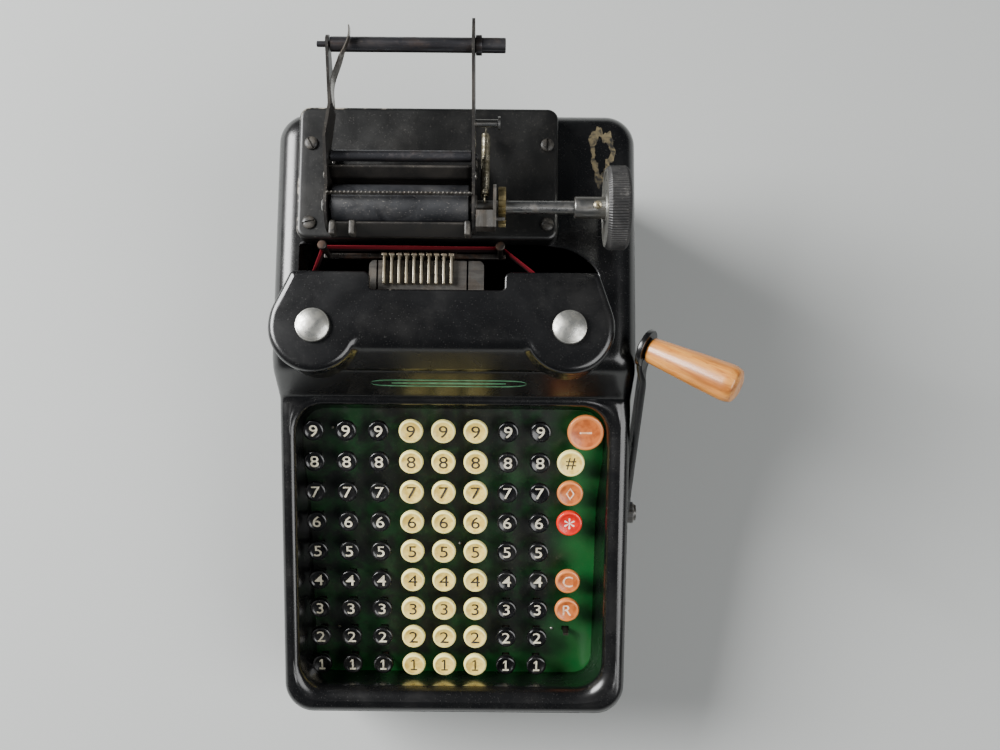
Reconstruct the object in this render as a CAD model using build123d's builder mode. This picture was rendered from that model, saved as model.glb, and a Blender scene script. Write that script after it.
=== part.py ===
from build123d import *
from math import atan2, cos, degrees, radians, sin, sqrt, tan
import os

# Hand-cranked printing adding machine. Millimetres; X to the right, Y to the rear, Z up.
# While it is drawn, X = Y = 0 is the middle of the casing and Z = 0 is the table.

# ---- casing ----
body_width = 203.0
body_depth = 345.0
casing_wall = 2.5
corner_radius = 17.0  # upright corners, seen from above
rim_radius = 6.0  # outer edge of the keyboard rim
shoulder_radius = 13.0  # edges of the raised rear box
foot_height = 8.0
front_height = 85.0  # top of the front wall
rim_rear_y = 11.5  # where the keyboard rim meets the rise of the rear box
rim_rear_height = 132.0
rise_angle = 63.0  # slope of the rise, from level
deck_height = 163.0
base_thickness = 2.0

# ---- keyboard ----
key_pitch = 19.0
key_rows = 9
key_columns = 8
key_slope = 21.8
first_column_x = -83.2
first_row_y = -148.0  # top of a row 1 key
first_row_z = 63.0
key_height = 14.0  # key top above the key plate
key_travel = 5.0
cap_thickness = 4.6
dish_depth = 0.9
black_cap_radius = 6.3
cream_cap_radius = 7.2
cream_columns = (3, 4, 5)
stem_width = 3.2
stem_depth = 1.6
stem_clearance = 0.7  # round a stem in its slot
stem_below_plate = 13.0
plate_thickness = 1.5
guide_drop = 9.0  # key plate's underside to the guide plate's top
guide_thickness = 1.2
well_left_x = -92.0
well_right_x = 88.0
well_front_y = -157.0
well_rear_y = 8.0
well_corner = 15.0
function_x = 68.0
minus_x = 76.2
number_cap_gap = 2.6  # between two caps of the number key's size, one pitch apart
minus_cap_gap = 1.69  # between the minus and the number cap
symbol_radius = 7.85
letter_radius = 7.6

# ---- spool cover, ribbon ----
cover_top = deck_height + 17.0
cover_wall = 2.0
cover_gap = 0.4  # cover to casing
ear_radius = 24.75
ear_left_x = -74.3
ear_right_x = 62.6
ear_y = 45.5
cover_rear_y = 75.4
cover_rear_left_x = -88.7
cover_rear_right_x = 79.6
cover_corner = 3.5
notch_left_x = -44.7
notch_right_x = 27.7
notch_y = 65.6
knob_radius = 9.25
knob_height = 4.5
spool_radius = 19.0
spool_core_radius = 5.0
wound_radius = 11.6
spindle_radius = 2.5
ribbon_height = 12.7
ribbon_thickness = 0.3
ribbon_bottom = deck_height + 2.0
ribbon_y = 89.5
post_left_x = -69.6
post_right_x = 25.3
post_radius = 1.5
post_head_radius = 2.65
post_top = deck_height + 21.5
ribbon_lift = 14.0

# ---- type ----
type_count = 10
type_pitch = 4.07
type_first_x = -38.0
type_thickness = 1.2
type_top = deck_height + 9.0
type_front_y = 70.5
type_rear_y = 86.0
type_rise = 28.0
slug_width = 2.8
slug_depth = 1.3
block_left_x = -46.5
block_right_x = 16.4
block_front_y = 64.0
block_rear_y = 84.0
block_top = deck_height + 5.0
block_bottom = deck_height - 13.5
lever_shaft_y = 130.0
lever_shaft_z = deck_height - 38.0
lever_reach = 51.0
lever_rest_angle = 16.0  # below level

# ---- carriage ----
bed_left_x = -86.2
bed_right_x = 56.7
bed_front_y = 94.2
bed_rear_y = 168.8
bed_top = deck_height + 12.0
bed_corner = 6.0
bed_wall = 3.0
arm_thickness = 1.5
arm_left_x = -64.8
arm_right_x = 11.2
arm_jog = 3.5  # the left arm steps in by this between the platen and the roll shaft
arm_jog_y = (137.0, 151.0)
left_arm_end = 4.5  # radius round the roll shaft
right_arm_end = 8.5
arm_finger_reach = 9.5  # the right arm's finger beyond the roll shaft
arm_finger_radius = 3.0
platen_y = 106.5
platen_z = deck_height + 33.0
platen_radius = 11.0
platen_shaft_radius = 3.5
roll_y = 178.0
roll_z = deck_height + 71.0
roll_radius = 3.75
roll_pin_radius = 1.5
guide_y = 131.3
guide_z = deck_height + 40.0
guide_radius = 3.0
running_gap = 0.06  # shaft in its bearing, on the radius
hub_radius = 5.75
hub_start_x = 64.0
knob_start_x = 80.0
platen_knob_radius = 22.0
platen_knob_width = 12.0
ratchet_x = 24.0
ratchet_width = 4.0
ratchet_radius = 10.5
ratchet_teeth = 20

# ---- drive ----
shaft_y = -52.6
shaft_z = 60.0
shaft_radius = 5.0
frame_thickness = 2.5
frame_left_x = -89.75
frame_right_x = 84.25
crank_x = body_width / 2 + 1.7
crank_thickness = 3.5
crank_length = 140.0
crank_lean = 39.6  # rearward, from upright
grip_turn = 33.5  # grip's axis, from X towards the operator
grip_length = 52.5
grip_root_radius = 7.1
grip_end_radius = 10.3
grip_gap = 0.8
flange_radius = 10.5
flange_thickness = 3.0
spindle_bolt_radius = 2.5

# ---- what follows from them ----
half_width = body_width / 2
half_depth = body_depth / 2
rise = 1 / tan(radians(rise_angle))
deck_front_y = rim_rear_y + (deck_height - rim_rear_height) * rise
cover_front_y = rim_rear_y + (cover_top - rim_rear_height) * rise
slope_sin = sin(radians(key_slope))
slope_cos = cos(radians(key_slope))
# The key plane lies on the key plate's top; its origin is under the row 1 keys, local Y runs up the rows.
key_plane = Plane(
    origin=(0, first_row_y + key_height * slope_sin, first_row_z - key_height * slope_cos),
    x_dir=(1, 0, 0),
    z_dir=(0, -slope_sin, slope_cos),
)
plate_y = key_plane.origin.Y
plate_z = key_plane.origin.Z
number_radius = (key_pitch - number_cap_gap) / 2
minus_away = sqrt((minus_x - function_x) ** 2 + key_pitch**2)
minus_radius = minus_away - number_radius - minus_cap_gap
column_x = [first_column_x + key_pitch * i for i in range(key_columns)]
row_s = [key_pitch * i for i in range(key_rows)]
function_keys = {  # name: (x, row counted from the front, cap radius)
    "minus_key": (minus_x, 9, minus_radius),
    "number_key": (function_x, 8, number_radius),
    "subtotal_key": (function_x, 7, symbol_radius),
    "total_key": (function_x, 6, symbol_radius),
    "clear_key": (function_x, 4, letter_radius),
    "repeat_key": (function_x, 3, letter_radius),
    "bare_key_stem": (function_x, 2, 0),
}
type_x = [type_first_x + type_pitch * i for i in range(type_count)]
crank_axis = Vector(0, sin(radians(crank_lean)), cos(radians(crank_lean)))
crank_end = Vector(crank_x + crank_thickness / 2, shaft_y, shaft_z) + crank_axis * crank_length
forward = Vector(0, -cos(radians(crank_lean)), sin(radians(crank_lean)))
grip_axis = Vector(1, 0, 0) * cos(radians(grip_turn)) + forward * sin(radians(grip_turn))
grip_plane = Plane(origin=crank_end, x_dir=crank_axis, z_dir=grip_axis)
pieces = {}


def keep(name, builder):
    """Files a finished piece under its node's name."""
    builder.part.label = name
    pieces[name] = builder.part


def plate_line(y):
    """Height of the key plate's top at a place along Y."""
    return plate_z + (y - plate_y) * tan(radians(key_slope))


def bar(x0, x1, y, z, radius, bore=0):
    """A round bar or tube along X."""
    with BuildPart() as made:
        with BuildSketch(Plane.YZ.offset(x0)):
            with Locations((y, z)):
                Circle(radius)
                if bore:
                    Circle(bore, mode=Mode.SUBTRACT)
        extrude(amount=x1 - x0)
    return made.part


def post(x, y, z0, z1, radius, bore=0):
    """A round bar or tube along Z."""
    with BuildPart() as made:
        with BuildSketch(Plane.XY.offset(z0)):
            with Locations((x, y)):
                Circle(radius)
                if bore:
                    Circle(bore, mode=Mode.SUBTRACT)
        extrude(amount=z1 - z0)
    return made.part


def casing_block(outline, inset, edge_radius):
    """A block across the casing from a side outline, with its corners and upper edges rounded."""
    reach = half_depth - inset
    with BuildPart() as block:
        with BuildSketch(Plane.YZ):
            with BuildLine():
                Polyline(*outline, close=True)
            make_face()
        extrude(amount=half_width - inset, both=True)
        uprights = block.edges().filter_by(Axis.Z)
        rear = uprights.filter_by_position(Axis.Y, reach - 1, reach + 1)
        front = uprights.filter_by_position(Axis.Y, -reach - 1, -reach + 1)
        fillet(rear + front, corner_radius - inset)
        upper = block.edges().filter_by(Axis.Z, reverse=True)
        upper = upper.filter_by(lambda e: e.center().Z > front_height - 3 * casing_wall)
        sides = upper.filter_by(lambda e: abs(e.center().X) > half_width - corner_radius)
        ends = upper.filter_by(lambda e: abs(e.center().Y) > reach - 1)
        rises = upper.filter_by(lambda e: abs(e.center().Y - deck_front_y) < 3 * casing_wall)
        chosen = sides + ends + (rises if edge_radius > rim_radius else ShapeList())
        fillet(ShapeList(set(chosen)), edge_radius)
    return block.part


def tub_outline(inset, bottom):
    """Side outline of the keyboard tub, run on at rim height to the rear wall."""
    y = half_depth - inset
    return [
        (-y, bottom),
        (-y, front_height - inset),
        (rim_rear_y, rim_rear_height - inset),
        (y, rim_rear_height - inset),
        (y, bottom),
    ]


def box_outline(inset, bottom):
    """Side outline of the raised rear box; its slope runs down into the tub."""
    y = half_depth - inset
    shift = inset / sin(radians(rise_angle))
    low = bottom + 80.0
    return [
        (rim_rear_y + shift - (rim_rear_height - low) * rise, low),
        (deck_front_y + shift - inset * rise, deck_height - inset),
        (y, deck_height - inset),
        (y, low),
    ]


def well_sketch(grow):
    """The keyboard opening seen from above."""
    width = well_right_x - well_left_x + 2 * grow
    depth = well_rear_y - well_front_y + 2 * grow
    with Locations(((well_left_x + well_right_x) / 2, (well_front_y + well_rear_y) / 2)):
        RectangleRounded(width, depth, well_corner + grow)


# ---- housing: one shell with the keyboard well, the type well and the shaft hole ----
with BuildPart() as casing_solid:
    add(casing_block(tub_outline(0, foot_height), 0, rim_radius))
    add(casing_block(box_outline(0, foot_height), 0, shoulder_radius))

with BuildPart() as well_body:
    with BuildSketch():
        well_sketch(casing_wall)
    extrude(amount=2 * deck_height)
    with BuildSketch(Plane.YZ):
        under = plate_thickness / slope_cos
        with BuildLine():
            Polyline(
                (-half_depth, plate_line(-half_depth) - under),
                (rim_rear_y, plate_line(rim_rear_y) - under),
                (rim_rear_y, 2 * deck_height),
                (-half_depth, 2 * deck_height),
                close=True,
            )
        make_face()
    extrude(amount=body_width, both=True, mode=Mode.INTERSECT)

with BuildPart() as casing_void:
    add(casing_block(tub_outline(casing_wall, -foot_height), casing_wall, rim_radius - casing_wall))
    add(casing_block(box_outline(casing_wall, -foot_height), casing_wall, shoulder_radius - casing_wall))
    add(well_body.part, mode=Mode.SUBTRACT)

# The type well: a slot in the deck before the carriage, its right rear corner cut to a sweep.
type_well_left = -86.0
type_well_right = 80.0
type_well_front = 60.0
sweep_start_x = 50.0
sweep_end_y = 76.0
with BuildPart() as type_well:
    with BuildSketch(Plane.XY.offset(deck_height / 2)):
        with BuildLine():
            Polyline(
                (sweep_start_x, bed_front_y),
                (type_well_left, bed_front_y),
                (type_well_left, type_well_front),
                (type_well_right, type_well_front),
                (type_well_right, sweep_end_y),
            )
            ThreePointArc(
                (type_well_right, sweep_end_y),
                (sweep_start_x + 20.0, sweep_end_y + 11.0),
                (sweep_start_x, bed_front_y),
            )
        make_face()
    extrude(amount=deck_height)

with BuildPart() as housing:
    add(casing_solid.part)
    add(casing_void.part, mode=Mode.SUBTRACT)
    with BuildSketch(Plane.XY.offset(foot_height)):
        well_sketch(0)
    extrude(amount=deck_height, mode=Mode.SUBTRACT)
    add(type_well.part, mode=Mode.SUBTRACT)
    hole = bar(half_width - 2 * casing_wall, half_width + 1, shaft_y, shaft_z, shaft_radius + 2)
    add(hole, mode=Mode.SUBTRACT)
keep("housing", housing)

# ---- base plate, feet and screws ----
foot_x = 80.0
foot_y = 145.0
foot_radius = 11.0
foot_recess_radius = 5.5
foot_recess = 5.0
screw_radius = 2.0
screw_head_radius = 3.6
screw_head_height = 2.0
bed_screws = [(-79.0, 147.6), (-79.0, 103.0), (50.6, 147.6), (50.6, 103.0)]
foot_places = [(x, y) for x in (-foot_x, foot_x) for y in (-foot_y, foot_y)]

with BuildPart() as base_plate:
    with BuildSketch(Plane.XY.offset(foot_height)):
        gap = casing_wall + 0.3
        RectangleRounded(body_width - 2 * gap, body_depth - 2 * gap, corner_radius - gap)
        with Locations(*foot_places):
            Circle(screw_radius + 0.2, mode=Mode.SUBTRACT)
    extrude(amount=base_thickness)
keep("base_plate", base_plate)

with BuildPart() as feet:
    with BuildSketch():
        with Locations(*foot_places):
            Circle(foot_radius - 1.5)
    extrude(amount=foot_height, taper=-9)
    with BuildSketch():
        with Locations(*foot_places):
            Circle(foot_recess_radius)
    extrude(amount=foot_recess, mode=Mode.SUBTRACT)
    with BuildSketch():
        with Locations(*foot_places):
            Circle(screw_radius + 0.2)
    extrude(amount=foot_height, mode=Mode.SUBTRACT)
keep("feet", feet)

with BuildPart() as case_screws:
    for x, y in foot_places:
        add(post(x, y, foot_recess - screw_head_height, foot_recess, screw_head_radius))
        add(post(x, y, foot_recess, foot_height + base_thickness + 2, screw_radius))
    for x, y in bed_screws:
        add(post(x, y, bed_top, bed_top + screw_head_height, screw_head_radius))
        add(post(x, y, bed_top - bed_wall - 2, bed_top, screw_radius))
keep("case_screws", case_screws)

# ---- key plate and stem guide plate ----
slots = [(x, s) for x in column_x for s in row_s]
slots += [(x, key_pitch * (row - 1)) for x, row, radius in function_keys.values()]


def slotted_plate(drop, thickness, fit):
    """A sloping plate that fills the well, with a slot for every key stem."""
    with BuildPart() as plate:
        with BuildSketch(Plane.XY.offset(foot_height)):
            well_sketch(-fit)
        extrude(amount=deck_height)
        with BuildSketch(key_plane.offset(-drop)):
            Rectangle(2 * body_depth, 2 * body_depth)
        extrude(amount=-thickness, mode=Mode.INTERSECT)
        with BuildSketch(key_plane.offset(-drop)):
            with Locations(*slots):
                Rectangle(stem_width + 2 * stem_clearance, stem_depth + 2 * stem_clearance)
        extrude(amount=-thickness, mode=Mode.SUBTRACT)
    return plate


keep("key_plate", slotted_plate(0, plate_thickness, 0.2))
keep("stem_guide_plate", slotted_plate(plate_thickness + guide_drop, guide_thickness, 8.0))

# ---- keys: a dished cap on a flat stem, grouped by column ----
cap_flare = 0.5
socket_depth = 2.8
stem_fit = 0.05


def key_cap(radius):
    """A cap with a dished top, its rim's top at Z = 0, and a socket for the stem."""
    with BuildPart() as cap:
        with BuildSketch(Plane.XZ):
            with BuildLine():
                Polyline(
                    (0, 0),
                    (0, -cap_thickness),
                    (radius - cap_flare, -cap_thickness),
                    (radius, -cap_thickness / 2),
                    (radius - 0.4, -0.3),
                    (radius - 0.8, 0),
                    close=True,
                )
            make_face()
        revolve(axis=Axis.Z)
        rim = radius - 1.2
        dish_radius = (rim * rim + dish_depth * dish_depth) / (2 * dish_depth)
        with Locations((0, 0, dish_radius - dish_depth)):
            Sphere(dish_radius, mode=Mode.SUBTRACT)
        with BuildSketch(Plane.XY.offset(-cap_thickness)):
            Rectangle(stem_width + 2 * stem_fit, stem_depth + 2 * stem_fit)
        extrude(amount=socket_depth, mode=Mode.SUBTRACT)
    return cap.part


def key_stem(top):
    """A flat stem, from its top down to below the guide plate."""
    with BuildPart() as stem:
        with BuildSketch(Plane.XY.offset(top)):
            Rectangle(stem_width, stem_depth)
        extrude(amount=-(key_height + top + plate_thickness + stem_below_plate))
    return stem.part


stem_top = -cap_thickness + socket_depth - stem_fit
stem_piece = key_stem(stem_top)
cap_pieces = {r: key_cap(r) for r in {black_cap_radius, cream_cap_radius}}
for index, x in enumerate(column_x):
    cap_piece = cap_pieces[cream_cap_radius if index in cream_columns else black_cap_radius]
    with BuildPart() as column:
        with Locations(key_plane.offset(key_height)):
            with Locations(*[(x, s) for s in row_s]):
                add(cap_piece)
                add(stem_piece)
    keep(f"key_column_{index + 1}", column)

bare_stem_top = -6.0
for name, (x, row, radius) in function_keys.items():
    with BuildPart() as key:
        with Locations(key_plane.offset(key_height)):
            with Locations((x, key_pitch * (row - 1))):
                if radius:
                    add(key_cap(radius))
                    add(stem_piece)
                else:
                    add(key_stem(bare_stem_top))
    keep(name, key)

# ---- side frames and the rods between them ----
frame_front_y = -150.0
frame_rear_y = 160.0
frame_top = deck_height - casing_wall - 2.5
frame_behind_rise = 2.7
frame_gap = plate_thickness / slope_cos
block_rod_y = 68.0
block_rod_radius = 3.5
rod_radius = 3.0
wheel_radius = 9.0
sector_radius = 30.0
mesh_gap = 1.5
wheel_z = lever_shaft_z - sector_radius - wheel_radius - mesh_gap
tie_radius = 4.0
tie_places = [(-140.0, 26.0), (150.0, 26.0)]
floor_z = foot_height + base_thickness


def side_frame(x0):
    """An upright plate that follows the key plate's underside and rises under the deck."""
    with BuildPart() as frame:
        with BuildSketch(Plane.YZ.offset(x0)):
            with BuildLine():
                Polyline(
                    (frame_front_y, floor_z),
                    (frame_front_y, plate_line(frame_front_y) - frame_gap),
                    (well_rear_y - 3, plate_line(well_rear_y - 3) - frame_gap),
                    (well_rear_y + 12, plate_line(well_rear_y)),
                    (deck_front_y + frame_behind_rise, frame_top),
                    (frame_rear_y, frame_top),
                    (frame_rear_y, floor_z),
                    close=True,
                )
            make_face()
            with Locations((shaft_y, shaft_z)):
                Circle(shaft_radius + running_gap, mode=Mode.SUBTRACT)
            with Locations((-95, 36), (20, 50), (75, 60)):
                Circle(12, mode=Mode.SUBTRACT)
            with Locations((75, 115)):
                Circle(20, mode=Mode.SUBTRACT)
        extrude(amount=frame_thickness)
    return frame.part


with BuildPart() as side_frames:
    add(side_frame(frame_left_x))
    add(side_frame(frame_right_x))
keep("side_frames", side_frames)

inner_left = frame_left_x + frame_thickness
inner_right = frame_right_x
with BuildPart() as cross_rods:
    for y, z in tie_places:
        add(bar(inner_left, inner_right, y, z, tie_radius))
    add(bar(inner_left, inner_right, lever_shaft_y, lever_shaft_z, rod_radius))
    add(bar(inner_left, inner_right, lever_shaft_y, wheel_z, rod_radius))
    add(bar(inner_left, inner_right, block_rod_y, block_bottom - block_rod_radius, block_rod_radius))
keep("cross_rods", cross_rods)

# ---- type block, type bars, levers and adding wheels ----
slot_width = type_thickness + 0.8
stem_front_y = type_rear_y - slug_depth - 7.7
stem_rear_y = type_rear_y - slug_depth
bar_bottom = deck_height - 46.0
slug_bottom = deck_height - 33.0
head_bottom = block_top + 0.3

with BuildPart() as type_block:
    with BuildSketch(Plane.XY.offset(block_bottom)):
        with Locations(((block_left_x + block_right_x) / 2, (block_front_y + block_rear_y) / 2)):
            RectangleRounded(block_right_x - block_left_x, block_rear_y - block_front_y, 3.0)
        with Locations(*[(x, (stem_front_y + block_rear_y) / 2) for x in type_x]):
            Rectangle(slot_width, block_rear_y - stem_front_y + 0.8, mode=Mode.SUBTRACT)
        with Locations((block_left_x + 4.5, block_rear_y), (block_right_x - 9.0, block_rear_y)):
            Rectangle(1.0, 36.0, mode=Mode.SUBTRACT)
    extrude(amount=block_top - block_bottom)
keep("type_block", type_block)

with BuildPart() as type_bars:
    for x in type_x:
        with BuildSketch(Plane.YZ.offset(x - type_thickness / 2)):
            with BuildLine():
                Polyline(
                    (type_front_y, type_top),
                    (type_front_y, head_bottom),
                    (stem_front_y, head_bottom),
                    (stem_front_y, bar_bottom),
                    (stem_rear_y, bar_bottom),
                    (stem_rear_y, type_top),
                    close=True,
                )
            make_face()
        extrude(amount=type_thickness)
        with BuildSketch(Plane.YZ.offset(x - slug_width / 2)):
            with BuildLine():
                Polyline(
                    (stem_rear_y, type_top),
                    (stem_rear_y, slug_bottom),
                    (type_rear_y, slug_bottom),
                    (type_rear_y, type_top),
                    close=True,
                )
            make_face()
        extrude(amount=slug_width)
keep("type_bars", type_bars)

lever_angle = radians(180 + lever_rest_angle)
lever_tip = (
    lever_shaft_y + lever_reach * cos(lever_angle),
    lever_shaft_z + lever_reach * sin(lever_angle),
)
tooth_depth = 2.0
with BuildPart() as type_levers:
    for x in type_x:
        with BuildSketch(Plane.YZ.offset(x - type_thickness / 2)):
            with Locations((lever_shaft_y, lever_shaft_z)):
                Circle(6)
            with Locations(lever_tip):
                Circle(2.5)
            make_hull()
            with BuildLine():
                spread = sector_radius * sin(radians(28))
                fall = sector_radius * cos(radians(28))
                Polyline(
                    (lever_shaft_y + spread, lever_shaft_z - fall),
                    (lever_shaft_y, lever_shaft_z),
                    (lever_shaft_y - spread, lever_shaft_z - fall),
                )
                ThreePointArc(
                    (lever_shaft_y - spread, lever_shaft_z - fall),
                    (lever_shaft_y, lever_shaft_z - sector_radius),
                    (lever_shaft_y + spread, lever_shaft_z - fall),
                )
            make_face()
            with Locations((lever_shaft_y, lever_shaft_z)):
                Circle(rod_radius + running_gap, mode=Mode.SUBTRACT)
                with PolarLocations(sector_radius, 11, -115, 55):
                    Rectangle(2 * tooth_depth, 1.5, mode=Mode.SUBTRACT)
        extrude(amount=type_thickness)
keep("type_levers", type_levers)

wheel_teeth = 20
with BuildPart() as adding_wheels:
    for x in type_x:
        with BuildSketch(Plane.YZ.offset(x - type_thickness / 2)):
            with Locations((lever_shaft_y, wheel_z)):
                Circle(wheel_radius)
                Circle(rod_radius + running_gap, mode=Mode.SUBTRACT)
                with PolarLocations(wheel_radius, wheel_teeth):
                    Rectangle(2 * tooth_depth, 1.3, mode=Mode.SUBTRACT)
        extrude(amount=type_thickness)
keep("adding_wheels", adding_wheels)

# ---- spool cover with its two ears, and its thumb nuts ----
ear_xs = (ear_left_x, ear_right_x)
ear_bottom = deck_height - 25.0


def ear_outline(x, outer_x, inner_x, inset):
    """An ear seen from above: a disc drawn out to the two rear corners of its side."""
    r = cover_corner - inset
    y = cover_rear_y - cover_corner
    side = 1 if outer_x > x - 1 and outer_x > inner_x else -1
    with Locations((x, ear_y)):
        Circle(ear_radius - inset)
    with Locations((outer_x - side * cover_corner, y), (inner_x + side * cover_corner, y)):
        Circle(r)
    make_hull()


def cover_middle(inset, top, rear):
    """Side outline of the stretch between the ears, its front on the slope of the rise."""
    shift = inset / sin(radians(rise_angle))
    low = deck_height - 8.0
    return [
        (rim_rear_y + shift + (low - rim_rear_height) * rise, low),
        (rim_rear_y + shift + (top - rim_rear_height) * rise, top),
        (rear, top),
        (rear, low),
    ]


ears = (
    (ear_left_x, cover_rear_left_x, notch_left_x),
    (ear_right_x, cover_rear_right_x, notch_right_x),
)
with BuildPart() as raised_casing:
    add(casing_solid.part.moved(Location((0, 0, cover_gap))))

with BuildPart() as spool_cover:
    for x, outer_x, inner_x in ears:
        with BuildSketch(Plane.XY.offset(ear_bottom)):
            ear_outline(x, outer_x, inner_x, 0)
        extrude(amount=cover_top - ear_bottom)
    with BuildSketch(Plane.YZ.offset(ear_left_x)):
        with BuildLine():
            Polyline(*cover_middle(0, cover_top, notch_y), close=True)
        make_face()
    extrude(amount=ear_right_x - ear_left_x)
    for x, outer_x, inner_x in ears:
        with BuildSketch(Plane.XY.offset(ear_bottom)):
            ear_outline(x, outer_x, inner_x, cover_wall)
        extrude(amount=cover_top - cover_wall - ear_bottom, mode=Mode.SUBTRACT)
    with BuildSketch(Plane.YZ.offset(ear_left_x)):
        with BuildLine():
            Polyline(*cover_middle(cover_wall, cover_top - cover_wall, cover_rear_y + 5), close=True)
        make_face()
    extrude(amount=ear_right_x - ear_left_x, mode=Mode.SUBTRACT)
    # the rear stays open, so that the ribbon runs out to its guide posts
    with BuildSketch(Plane.XY.offset(ear_bottom)):
        with Locations(((cover_rear_left_x + cover_rear_right_x) / 2, cover_rear_y)):
            Rectangle(cover_rear_right_x - cover_rear_left_x - 2 * cover_wall, 2 * cover_corner + 8)
    extrude(amount=cover_top - cover_wall - ear_bottom, mode=Mode.SUBTRACT)
    add(raised_casing.part, mode=Mode.SUBTRACT)
    with BuildSketch(Plane.XY.offset(ear_bottom)):
        with Locations(*[(x, ear_y) for x in ear_xs]):
            Circle(spindle_radius + 0.5)
    extrude(amount=cover_top - ear_bottom, mode=Mode.SUBTRACT)
keep("spool_cover", spool_cover)

nut_gap = 0.2
dome_rise = 2.2  # of the nut's top, middle above edge
dome_radius = (knob_radius * knob_radius + dome_rise * dome_rise) / (2 * dome_rise)
for name, x in (("left_thumb_nut", ear_left_x), ("right_thumb_nut", ear_right_x)):
    with BuildPart() as nut:
        base = cover_top + nut_gap
        add(post(x, ear_y, base, base + knob_height, knob_radius))
        with Locations((x, ear_y, base + knob_height - dome_radius)):
            Sphere(dome_radius, mode=Mode.INTERSECT)
        add(post(x, ear_y, cover_top - cover_wall - 1.0, base, spindle_radius))
    keep(name, nut)

# ---- ribbon spools on their spindles ----
flange = 0.8
spool_bottom = ribbon_bottom - flange
spool_bore = spindle_radius + running_gap
upper_flange = ribbon_bottom + ribbon_height - flange
for name, x in (("left_spool", ear_left_x), ("right_spool", ear_right_x)):
    with BuildPart() as spool:
        add(post(x, ear_y, spool_bottom, ribbon_bottom, spool_radius, spool_bore))
        add(post(x, ear_y, ribbon_bottom, upper_flange, wound_radius, spool_bore))
        add(post(x, ear_y, upper_flange, upper_flange + flange, spool_radius, spool_bore))
    keep(name, spool)

spindle_top = cover_top - cover_wall - 1.5

# ---- ribbon, its guide posts and the yoke that lifts them ----
yoke_height = 3.0
yoke_bottom = deck_height - 4.0
yoke_depth = 3.0
post_y = ribbon_y - post_radius
with BuildPart() as ribbon_guides:
    with BuildSketch(Plane.XY.offset(yoke_bottom)):
        with Locations(((post_left_x + post_right_x) / 2, post_y)):
            Rectangle(post_right_x - post_left_x + 6, yoke_depth)
    extrude(amount=yoke_height)
    for x in (post_left_x, post_right_x):
        add(post(x, post_y, yoke_bottom + yoke_height, post_top, post_radius))
        add(post(x, post_y, post_top, post_top + 2, post_head_radius))
keep("ribbon_guides", ribbon_guides)

with BuildPart() as ribbon_span:
    with BuildSketch(Plane.XY.offset(ribbon_bottom)):
        with Locations(((post_left_x + post_right_x) / 2, ribbon_y + ribbon_thickness / 2)):
            Rectangle(post_right_x - post_left_x, ribbon_thickness)
    extrude(amount=ribbon_height)
keep("ribbon_span", ribbon_span)


def tangent_point(start, centre, radius, side):
    """Where a straight run from start touches the wound ribbon, on the side given."""
    dx = centre[0] - start[0]
    dy = centre[1] - start[1]
    away = sqrt(dx * dx + dy * dy)
    turn = atan2(dy, dx) + side * atan2(radius, sqrt(away * away - radius * radius))
    reach = sqrt(away * away - radius * radius)
    return (start[0] + reach * cos(turn), start[1] + reach * sin(turn))


run_gap = 0.4
left_start = (post_left_x - post_radius - run_gap, post_y + 0.8)
right_start = (post_right_x + 1.3, post_y + post_radius + run_gap / 2)
clear_radius = wound_radius + run_gap
left_end = tangent_point(left_start, (ear_left_x, ear_y), clear_radius, -1)
right_end = tangent_point(right_start, (ear_right_x, ear_y), clear_radius, 1)
with BuildPart() as ribbon_runs:
    for (x0, y0), (x1, y1) in ((left_start, left_end), (right_start, right_end)):
        long = sqrt((x1 - x0) ** 2 + (y1 - y0) ** 2)
        with BuildSketch(Plane.XY.offset(ribbon_bottom)):
            with Locations(Location(((x0 + x1) / 2, (y0 + y1) / 2), degrees(atan2(y1 - y0, x1 - x0)))):
                Rectangle(long, ribbon_thickness)
        extrude(amount=ribbon_height - flange - 0.2)
keep("ribbon_runs", ribbon_runs)

# ---- carriage bed ----
with BuildPart() as carriage_bed:
    with BuildSketch(Plane.XY.offset(deck_height - 20)):
        with Locations(((bed_left_x + bed_right_x) / 2, (bed_front_y + bed_rear_y) / 2)):
            RectangleRounded(bed_right_x - bed_left_x, bed_rear_y - bed_front_y, bed_corner)
    extrude(amount=bed_top - deck_height + 20)
    fillet(carriage_bed.edges().group_by(Axis.Z)[-1], 2.0)
    with BuildSketch(Plane.XY.offset(deck_height - 20)):
        with Locations(((bed_left_x + bed_right_x) / 2, (bed_front_y + bed_rear_y) / 2)):
            RectangleRounded(
                bed_right_x - bed_left_x - 2 * bed_wall,
                bed_rear_y - bed_front_y - 2 * bed_wall,
                bed_corner - bed_wall,
            )
    extrude(amount=bed_top - deck_height + 20 - bed_wall, mode=Mode.SUBTRACT)
    add(casing_solid.part, mode=Mode.SUBTRACT)
    with BuildSketch(Plane.XY.offset(deck_height)):
        with Locations(*bed_screws):
            Circle(screw_radius)
    extrude(amount=bed_top - deck_height, mode=Mode.SUBTRACT)
keep("carriage_bed", carriage_bed)

# ---- carriage plates, drawn out to the arms that carry the paper roll ----
foot_span = (97.0, 140.0)


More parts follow.
